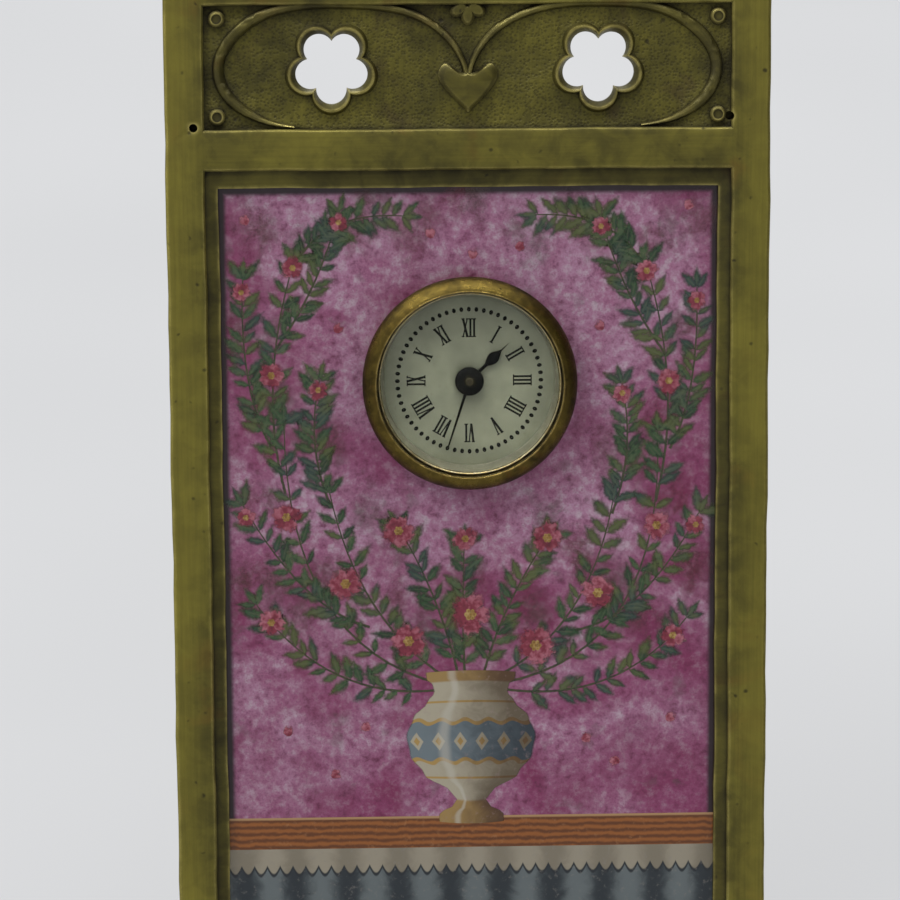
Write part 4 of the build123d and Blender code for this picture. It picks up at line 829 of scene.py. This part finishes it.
# Each loose petal: where it is, and which way it lies
FALLEN = [
    (-6, 134.5, 110), (7.5, 133, 15), (22.5, 119, 130), (-22.5, 119, 50), (-24, 43, 30),
    (25.5, 45, 165), (36, 139, 60), (-36.5, 137, 120), (-31, 50, 90), (33, 52, 45),
    (0.5, 131, 80), (-17, 51, 140), (18.5, 49, 20),
]
HAZES = [
    (-31, 74), (31, 72), (-22, 80), (22, 78), (-34, 92), (34, 90), (-10, 72), (10, 71), (-33, 106), (33, 105),
    (-35, 120), (35, 119), (-27, 132), (27, 131), (-18, 138), (18, 138), (-36, 136), (36, 135), (-25, 100),
    (25, 99), (0, 78), (-38, 80), (38, 78), (-15, 86), (16, 85), (0, 139), (-8, 136), (9, 136),
]


def haze_paint(rim, tint, speck, stroke):
    """A crimson to grey wash that fades to its rim."""
    colour = mixed(tint, (122, 34, 64), (96, 84, 76))
    thin = spread(plus(rim, spread(stroke, 0.3, 0.7, -0.25, 0.25)), 0.95, 0.0)
    grainy = spread(speck, 0.3, 0.62, 0.25, 1.0)
    return colour, times(times(thin, grainy), 0.45)


def plaque_haze():
    """Thin washes that lie under the sprays."""
    chance = random.Random(5)
    dab = round_dab(16, 1, 0.004, cuts=2)
    dabs = []
    for number, (x, z) in enumerate(HAZES):
        front = HAZE_FRONT - 0.0002 * number
        for lean in (-1, 1):
            at = Matrix.Translation(((x + lean * chance.uniform(0.5, 3)) * MM, front * MM,
                                     (z + chance.uniform(-3, 3)) * MM))
            size = Matrix.Diagonal((chance.uniform(3.0, 4.6), 1.0, chance.uniform(4.5, 7.5), 1.0))
            dabs.append(tinted(twin(dab, at @ size), chance.uniform(0.0, 1.0)))
    drop(dab)
    on_plaque(joined(dabs), "painted_haze", painted_form("haze_paint", haze_paint))


def plaque_sprays():
    """Upright sprays of leaves that fan out of the urn and rise beside the clock."""
    chance = random.Random(11)
    leaf = leaf_form()
    stems, leaves = [], []
    for spray in SPRAYS:
        points = bowed(*spray, 16)
        stems.append(painted_stem(points, 0.55, 0.25))
        for number, (x, z, way) in enumerate(points[2:], 2):
            side = 1 if number % 2 else -1
            for hand in (side, -side) if number % 3 else (side,):
                grow = way + hand * chance.uniform(34, 62)
                length = chance.uniform(3.4, 5.6)
                width = chance.uniform(0.85, 1.2)
                leaves.append(lay(leaf, x, z, grow, length, width, 0.01, chance.uniform(0.0, 1.0)))
        x, z, way = points[-1]
        leaves.append(lay(leaf, x, z, way, 4.2, 0.9, 0.01, 0.7))
    drop(leaf)
    paint = painted("stem_paint", (44, 46, 30), (62, 60, 38), (84, 74, 48), 0.6)
    on_plaque(joined(stems), "painted_stems", paint)
    paint = painted("leaf_paint", (22, 44, 28), (46, 74, 42), (100, 102, 74), 0.12, veins=0.3,
                    washes=((50, 66, 64), (84, 88, 44)))
    on_plaque(joined(leaves), "painted_leaves", paint)


def plaque_blossoms():
    """Five-petalled blossoms on the sprays, and loose petals scattered on the ground."""
    chance = random.Random(23)
    petal = petal_form()
    seed = round_dab(10, 0.5, 0.05)
    petals, eyes = [], []
    for x, z, size in BLOSSOMS:
        first = chance.uniform(0, 72)
        for number in range(5):
            way = first + 72 * number + chance.uniform(-7, 7)
            length = size * 0.72 * chance.uniform(0.9, 1.08)
            width = chance.uniform(0.95, 1.15)
            lift = 0.03 + 0.006 * number
            petals.append(lay(petal, x, z, way, length, width, lift, chance.uniform(0.1, 0.9)))
        for number in range(7):
            reach = 0 if number == 0 else size * 0.12
            way = radians(60 * number)
            at = Matrix.Translation(((x + reach * cos(way)) * MM, STAMEN_FRONT * MM, (z + reach * sin(way)) * MM))
            eyes.append(tinted(twin(seed, at @ Matrix.Scale(size * 0.16, 4)), chance.uniform(0.2, 0.9)))
    for x, z, way in FALLEN:
        petals.append(lay(petal, x, z, way, 2.3, 1.0, 0.02, chance.uniform(0.3, 1.0)))
    drop(petal, seed)
    paint = painted("petal_paint", (88, 26, 40), (124, 40, 58), (172, 106, 120), 0.6, veins=0.25)
    on_plaque(joined(petals), "painted_petals", paint)
    paint = painted("stamen_paint", (92, 62, 24), (140, 104, 46), (176, 150, 92), 0.7)
    on_plaque(joined(eyes), "painted_stamens", paint)


def urn_paint(across, up, speck, stroke):
    """Cream glaze, a blue-grey band with lozenges between gold lines, a brown foot and lip, lit from the left."""
    shade = spread(plus(across, spread(stroke, 0.3, 0.7, -0.16, 0.16)), -0.75, 0.95)
    cream = mixed(shade, (166, 158, 138), (92, 80, 62))
    blue = mixed(shade, (104, 116, 122), (42, 52, 60))
    brown = mixed(shade, (150, 122, 72), (78, 52, 28))
    gold = mixed(shade, (164, 134, 76), (84, 60, 30))
    edge = plus(up, times(wave(across, 16.0), 0.014))
    band = times(spread(edge, 0.4, 0.42), spread(edge, 0.68, 0.66))
    colour = mixed(band, cream, blue)
    lines = [(edge, 0.41, 0.016, 0.009), (edge, 0.67, 0.016, 0.009), (up, 0.3, 0.009, 0.005),
             (up, 0.8, 0.009, 0.005)]
    for value, level, outer, inner in lines:
        colour = mixed(spread(away(value, level), outer, inner), colour, gold)
    beside = away(calc("FRACT", times(across, 3.0)), 0.5)
    lozenge = plus(times(beside, 2.2), times(away(up, 0.54), 11.0))
    colour = mixed(spread(lozenge, 0.72, 0.6), colour, cream)
    colour = mixed(spread(lozenge, 0.36, 0.28), colour, gold)
    ends = plus(spread(up, 0.16, 0.14), spread(up, 0.925, 0.94), clamp=True)
    colour = mixed(ends, colour, brown)
    colour = mixed(times(spread(speck, 0.55, 0.75), 0.35), colour, (150, 128, 128))
    shine = times(spread(away(across, -0.42), 0.14, 0.02), 0.5)
    colour = mixed(shine, colour, (186, 182, 170))
    return colour, spread(calc("ABSOLUTE", across), 1.0, 0.95)


def cloth_paint(across, up, speck, stroke):
    """A blue-grey table cloth in soft folds, with a scalloped cream border along its top."""
    fold = wave(across, 31.0, times(stroke, 2.2))
    colour = mixed(spread(fold, -1.0, 1.0), (34, 42, 48), (96, 104, 106))
    scallop = calc("ABSOLUTE", wave(across, 62.0))
    reach = plus(up, times(scallop, 0.07))
    colour = mixed(spread(reach, 0.82, 0.84), colour, (28, 34, 40))
    lace = mixed(spread(fold, -1.0, 1.0, 0.0, 0.45), (124, 116, 100), (172, 164, 146))
    colour = mixed(spread(reach, 0.85, 0.87), colour, lace)
    colour = mixed(times(spread(speck, 0.55, 0.75), 0.4), colour, (134, 128, 122))
    return colour, 1.0


def table_paint(across, up, speck, stroke):
    """A warm orange table edge with brushed lines along it."""
    lines = wave(up, 30.0, times(stroke, 6.0))
    colour = mixed(spread(lines, -1.0, 1.0), (96, 52, 18), (142, 84, 34))
    colour = mixed(spread(up, 0.9, 0.96), colour, (168, 132, 92))
    colour = mixed(times(spread(speck, 0.55, 0.75), 0.4), colour, (164, 116, 76))
    return colour, 1.0


# The urn's half width at shares of its height
URN_PROFILE = [
    (0.0, 5.6), (0.06, 5.6), (0.1, 3.4), (0.15, 2.5), (0.2, 3.6), (0.32, 8.2), (0.45, 10.6), (0.58, 11.2),
    (0.7, 10.0), (0.8, 7.6), (0.87, 6.3), (0.92, 6.6), (0.95, 7.6), (1.0, 7.8),
]


def urn_half_width(along):
    for (low, first), (high, second) in zip(URN_PROFILE, URN_PROFILE[1:]):
        if along <= high:
            share = (along - low) / (high - low)
            return first + (second - first) * (3 * share**2 - 2 * share**3)
    return URN_PROFILE[-1][1]


def plaque_still_life():
    """A glazed urn on a draped table: the lower part of the painting."""
    def table(across, along):
        return TABLE_HALF * across, 30.5 + 5.5 * along, 0.01

    def cloth(across, along):
        return TABLE_HALF * across, 10.0 + 20.5 * along, 0.01

    def urn(across, along):
        bow = 0.9 * (1 - across * across) * (1 if along > 0.5 else -1) * abs(2 * along - 1)
        return urn_half_width(along) * across, 35.0 + 26.0 * along + 0.4 * bow, 0.04 * (1 - across * across)
    forms = [("table", 8, 2, table, table_paint, 0.0), ("cloth", 8, 4, cloth, cloth_paint, 0.0),
             ("urn", 10, 40, urn, urn_paint, 0.05)]
    for name, columns, rows, place, paint, lift in forms:
        piece = patch_form(columns, rows, place, lambda across, along: across, lambda across, along: along)
        piece.data.transform(Matrix.Translation((0, (PAINT_FRONT - lift) * MM, 0)))
        on_plaque(piece, "painted_" + name, painted_form(name + "_paint", paint))


# Clock


def turned_pieces():
    """The bezel, with its narrow inner lip, and the domed glass."""
    crown = [(15.45, -3.1), (15.5, -3.22), *arc((15.0585, -0.3903), 2.9359, -79, -18.05, 18)]
    lip = arc((15.125, -1.6), 0.175, 180, 360, 8)
    foot = [(17.84, -1.0), (17.73, -0.3), (17.5, 0.9), (17.3, 2.4), (16.05, 2.4), (16.05, GLASS_FRONT)]
    profile = [(14.95, GLASS_FRONT), *lip, (15.32, -1.5), (15.43, -1.5), *crown, *foot]
    hand_over(lathe(profile, 160), "turned_bezel", BEZEL_BRASS, nodes=["bezel"])
    bend = (GLASS_SEAT**2 + GLASS_DOME**2) / (2 * GLASS_DOME)
    radii = [GLASS_SEAT * step / 24 for step in range(25)]
    front = [(radius, GLASS_FRONT - GLASS_DOME + bend - sqrt(bend**2 - radius**2)) for radius in radii]
    back = [(radius, depth + GLASS_BACK) for radius, depth in reversed(front)]
    rim = [(GLASS_RIM, GLASS_FRONT), (GLASS_RIM, GLASS_BACK)]
    hand_over(lathe([*front, *rim, *back], 128), "domed_crystal", GLASS, nodes=["crystal"])


NUMERALS = ["XII", "I", "II", "III", "IIII", "V", "VI", "VII", "VIII", "IX", "X", "XI"]
LETTER_FOOT, LETTER_HEAD = 7.3, 10.45
DOT_TRACK = 11.99
ADVANCE = {"I": 0.62, "V": 1.08, "X": 1.12}
# Each letter's strokes: from, to (the height as a share of the letter's) and width
STROKES = {
    "I": [((0, 0), (0, 1), 0.34), ((-0.32, 0.03), (0.32, 0.03), 0.2), ((-0.32, 0.97), (0.32, 0.97), 0.2)],
    "V": [((-0.36, 1), (0.02, 0), 0.38), ((0.36, 1), (0.04, 0), 0.2), ((-0.62, 0.97), (-0.08, 0.97), 0.2),
          ((0.14, 0.97), (0.6, 0.97), 0.2)],
    "X": [((-0.38, 1), (0.38, 0), 0.38), ((0.36, 1), (-0.36, 0), 0.2), ((-0.64, 0.97), (-0.1, 0.97), 0.2),
          ((0.14, 0.97), (0.6, 0.97), 0.2), ((-0.6, 0.03), (-0.14, 0.03), 0.2), ((0.1, 0.03), (0.64, 0.03), 0.2)],
}


def printed_stroke(begin, end, width):
    """One bar of a letter: a flat plane between two points, extruded to a thin print."""
    high = LETTER_HEAD - LETTER_FOOT
    a, b = Vector((begin[0], begin[1] * high)), Vector((end[0], end[1] * high))
    run = b - a
    piece = start("plane", size=1)
    piece.data.transform(Matrix.Diagonal((run.length * MM, width * MM, 1, 1)))
    edit_all(piece)
    bpy.ops.mesh.extrude_region_move(TRANSFORM_OT_translate={"value": (0, 0, PRINT_DEPTH * MM)})
    bpy.ops.mesh.select_all(action="SELECT")
    bpy.ops.mesh.normals_make_consistent(inside=False)
    done_editing()
    middle = (a + b) / 2
    turn = Matrix.Rotation(atan2(run.y, run.x), 4, "Z")
    piece.data.transform(Matrix.Translation((middle.x * MM, middle.y * MM, 0)) @ turn)
    return piece


def on_dial(prints, name):
    """Joins printed marks, sets them on the dial and hands them over."""
    piece = joined(prints)
    settle(piece, CLOCK)
    hand_over(piece, name, INK)


def dial_print():
    """Roman hour numerals, their feet to the centre, and a track of sixty dots."""
    upright = Matrix.Translation((0, PRINT_FRONT * MM, 0)) @ Matrix.Rotation(radians(90), 4, "X")
    letters = {name: joined([printed_stroke(*stroke) for stroke in strokes]) for name, strokes in STROKES.items()}
    prints = []
    for hour, numeral in enumerate(NUMERALS):
        reach = -sum(ADVANCE[letter] for letter in numeral) / 2
        turn = Matrix.Rotation(radians(-30 * hour), 4, "Z")
        for letter in numeral:
            place = Matrix.Translation(((reach + ADVANCE[letter] / 2) * MM, LETTER_FOOT * MM, 0))
            prints.append(twin(letters[letter], upright @ turn @ place))
            reach += ADVANCE[letter]
    drop(*letters.values())
    on_dial(prints, "dial_numerals")
    dot = start("cylinder", vertices=12, radius=0.33 * MM, depth=PRINT_DEPTH * MM)
    dot.data.transform(Matrix.Diagonal((1, 1.25, 1, 1)))
    edit_all(dot)
    bpy.ops.mesh.bevel(offset=0.008 * MM, segments=1)
    done_editing()
    place = Matrix.Translation((0, DOT_TRACK * MM, 0.012 * MM))
    turns = [Matrix.Rotation(radians(-6 * minute), 4, "Z") for minute in range(60)]
    dots = [twin(dot, upright @ turn @ place) for turn in turns]
    drop(dot)
    on_dial(dots, "dial_minute_dots")


def easing_pass():
    """The rest of the outside, with its edges rounded."""
    fixed = [
        ("enamel_plaque", ENAMEL, "plaque_enamel", 0.2), ("packing_board", BOARD, "packing_board", 0.1),
        ("back_plate", SHEET_BRASS, "sheet_brass", 0.12), ("back_plate_screws", STEEL, "steel", 0.08),
        ("hinge_leaf", SHEET_BRASS, "sheet_brass", 0.1), ("hinge_rivets", SHEET_BRASS, "sheet_brass", 0.12),
        ("hinge_pin", STEEL, "steel", 0.12), ("sight_ring", SILVERED, "sight_ring_silver", 0.05),
        ("dial", DIAL_FACE, "dial_enamel", 0.05), ("drum_case", DRUM_BRASS, "drum_brass", 0.1),
        ("rear_cap", DRUM_BRASS, "drum_brass", 0.15), ("clamp_ring", DRUM_BRASS, "drum_brass", 0.18),
    ]
    for name, finish, slot, width in fixed:
        eased(name, finish, width)
    eased("strut_leg", SHEET_BRASS, 0.15, "strut")
    eased("winding_key", KEY_BRASS, 0.18, "winding")
    eased("set_knob", KEY_BRASS, 0.1, "minute")
    eased("hour_hand", LACQUER, 0.04, "hour", 1.0)
    eased("minute_hand", LACQUER, 0.04, "minute", 1.0)


INSIDE = {
    DARK_BRASS: ["centre_arbor", "cannon_pinion"],
    MOVEMENT_BRASS: ["front_plate", "rear_plate", "plate_pillars", "barrel_drum", "barrel_cover", "centre_wheel",
                     "third_wheel", "fourth_wheel", "escape_wheel", "balance_wheel", "balance_cock",
                     "minute_wheel", "hour_wheel", "dial_spacer"],
    STEEL: ["pillar_screws", "barrel_arbor", "ratchet_wheel", "click", "pallet_lever", "balance_staff",
            "regulator"],
    BLUED_STEEL: ["mainspring", "hairspring", "click_spring"],
}


def dress_movement():
    """The movement keeps its CAD shapes and gets its finishes."""
    for finish, names in INSIDE.items():
        for name in names:
            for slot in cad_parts[name].material_slots:
                slot.link = "OBJECT"
                slot.material = finish


# Studio


def seen_directly(tree):
    """One for rays from the camera, mirrored in metal or through glass, which show the pale backdrop."""
    paths = node("LightPath", tree=tree).outputs
    through = calc("MAXIMUM", paths["Is Glossy Ray"], paths["Is Transmission Ray"])
    return calc("MAXIMUM", paths["Is Camera Ray"], through)


def paper_floor():
    """A pale floor, which looks evenly lit and still takes soft shadows."""
    floor = start("plane", size=8)
    floor.name = "studio_floor"
    paper, shader, where = new_finish("floor_paper")
    tone = mixed(spread(noise(where, 3.0, 2.0), 0.3, 0.7), (217, 218, 220), (223, 224, 226))
    set_shader(shader, Base_Color=tone, Roughness=0.9, Specular_IOR_Level=0.1)
    glow = node("Emission", {0: tone, 1: 1.0})
    seen = times(seen_directly(paper.node_tree), 0.75)
    lit = node("MixShader", {0: seen, 1: shader.outputs[0], 2: glow.outputs[0]})
    fill(paper.node_tree.nodes["Material Output"], {"Surface": lit.outputs[0]})
    floor.data.materials.append(paper)


def pale_air():
    """A soft white world that shows as a pale backdrop."""
    world = bpy.data.worlds.new("studio_air")
    world.use_nodes = True
    bpy.context.scene.world = world
    air = world.node_tree
    soft = air.nodes["Background"]
    fill(soft, {0: (1.0, 1.0, 1.0, 1.0), 1: 0.5})
    pale = node("Background", {0: srgb(220, 221, 224), 1: 1.0}, tree=air)
    both = node("MixShader", {0: seen_directly(air), 1: soft.outputs[0], 2: pale.outputs[0]})
    fill(air.nodes["World Output"], {"Surface": both.outputs[0]})


def dark_card():
    """A dark card at the right that only the metal mirrors."""
    card = start("plane", size=2.2, location=(0.95, -0.25, 0.4), rotation=(0, radians(-90), radians(-8)))
    card.name = "dark_card"
    felt, shader, where = new_finish("card_felt")
    tone = mixed(noise(where, 20.0), (20, 20, 20), (30, 30, 30))
    set_shader(shader, Base_Color=tone, Roughness=1.0)
    card.data.materials.append(felt)
    card.visible_camera = card.visible_diffuse = card.visible_shadow = card.visible_transmission = False


def lamp(name, place, aim, size, power):
    light = bpy.data.lights.new(name, "AREA")
    light.shape = "RECTANGLE"
    light.size, light.size_y = size
    light.energy = power
    holder = bpy.data.objects.new(name, light)
    holder.location = place
    holder.rotation_euler = (Vector(aim) - Vector(place)).to_track_quat("-Z", "Y").to_euler()
    bpy.context.scene.collection.objects.link(holder)
    return holder


def studio():
    """A pale floor and air, a dark card and soft lamps."""
    paper_floor()
    pale_air()
    dark_card()
    lamp("left_box", (-1.5, -0.7, 2.3), (0, 0.02, 0.1), (1.3, 1.0), 26.0)
    lamp("right_box", (1.2, -0.1, 2.5), (0, 0.02, 0.1), (0.9, 0.9), 13.0)
    lamp("rear_box", (-0.3, 2.2, 2.0), (0, 0.03, 0.1), (1.6, 1.0), 14.0)
    lamp("crown_strip", (-0.1, -0.25, 1.3), (0, 0.02, 0.1), (1.1, 0.24), 11.0).visible_diffuse = False


def viewpoint():
    """The camera, from its measured place before the frame's face: across, up and out, and three turns."""
    pixels, sensor, focal = 900, 36.0, 3500.0
    pitch, yaw, roll = radians(9.40), radians(1.58), radians(0.36)
    shift = Vector((3.21, 10.43, -581.8))
    aim = Vector((-0.074, 0, DIAL_Z - 0.774))
    turn = Matrix.Rotation(roll, 3, "Z") @ Matrix.Rotation(pitch, 3, "X") @ Matrix.Rotation(yaw, 3, "Y")
    to_frame = Matrix(((1, 0, 0), (0, 0, -1), (0, 1, 0)))
    place = to_frame @ (turn.transposed() @ -shift) + aim
    axes = STAND.to_3x3() @ to_frame @ turn.transposed()
    lens = bpy.data.cameras.new("photograph")
    lens.sensor_fit = "HORIZONTAL"
    lens.sensor_width = sensor
    lens.lens = focal * sensor / pixels
    lens.clip_start = 0.01
    holder = bpy.data.objects.new("photograph", lens)
    holder.matrix_world = Matrix.Translation(STAND @ (place * MM)) @ axes.to_4x4()
    bpy.context.scene.collection.objects.link(holder)
    bpy.context.scene.camera = holder


cast_frame()
easing_pass()
plaque_still_life()
plaque_haze()
plaque_sprays()
plaque_blossoms()
turned_pieces()
dial_print()
dress_movement()
studio()
viewpoint()
bpy.context.scene.view_settings.view_transform = "Standard"
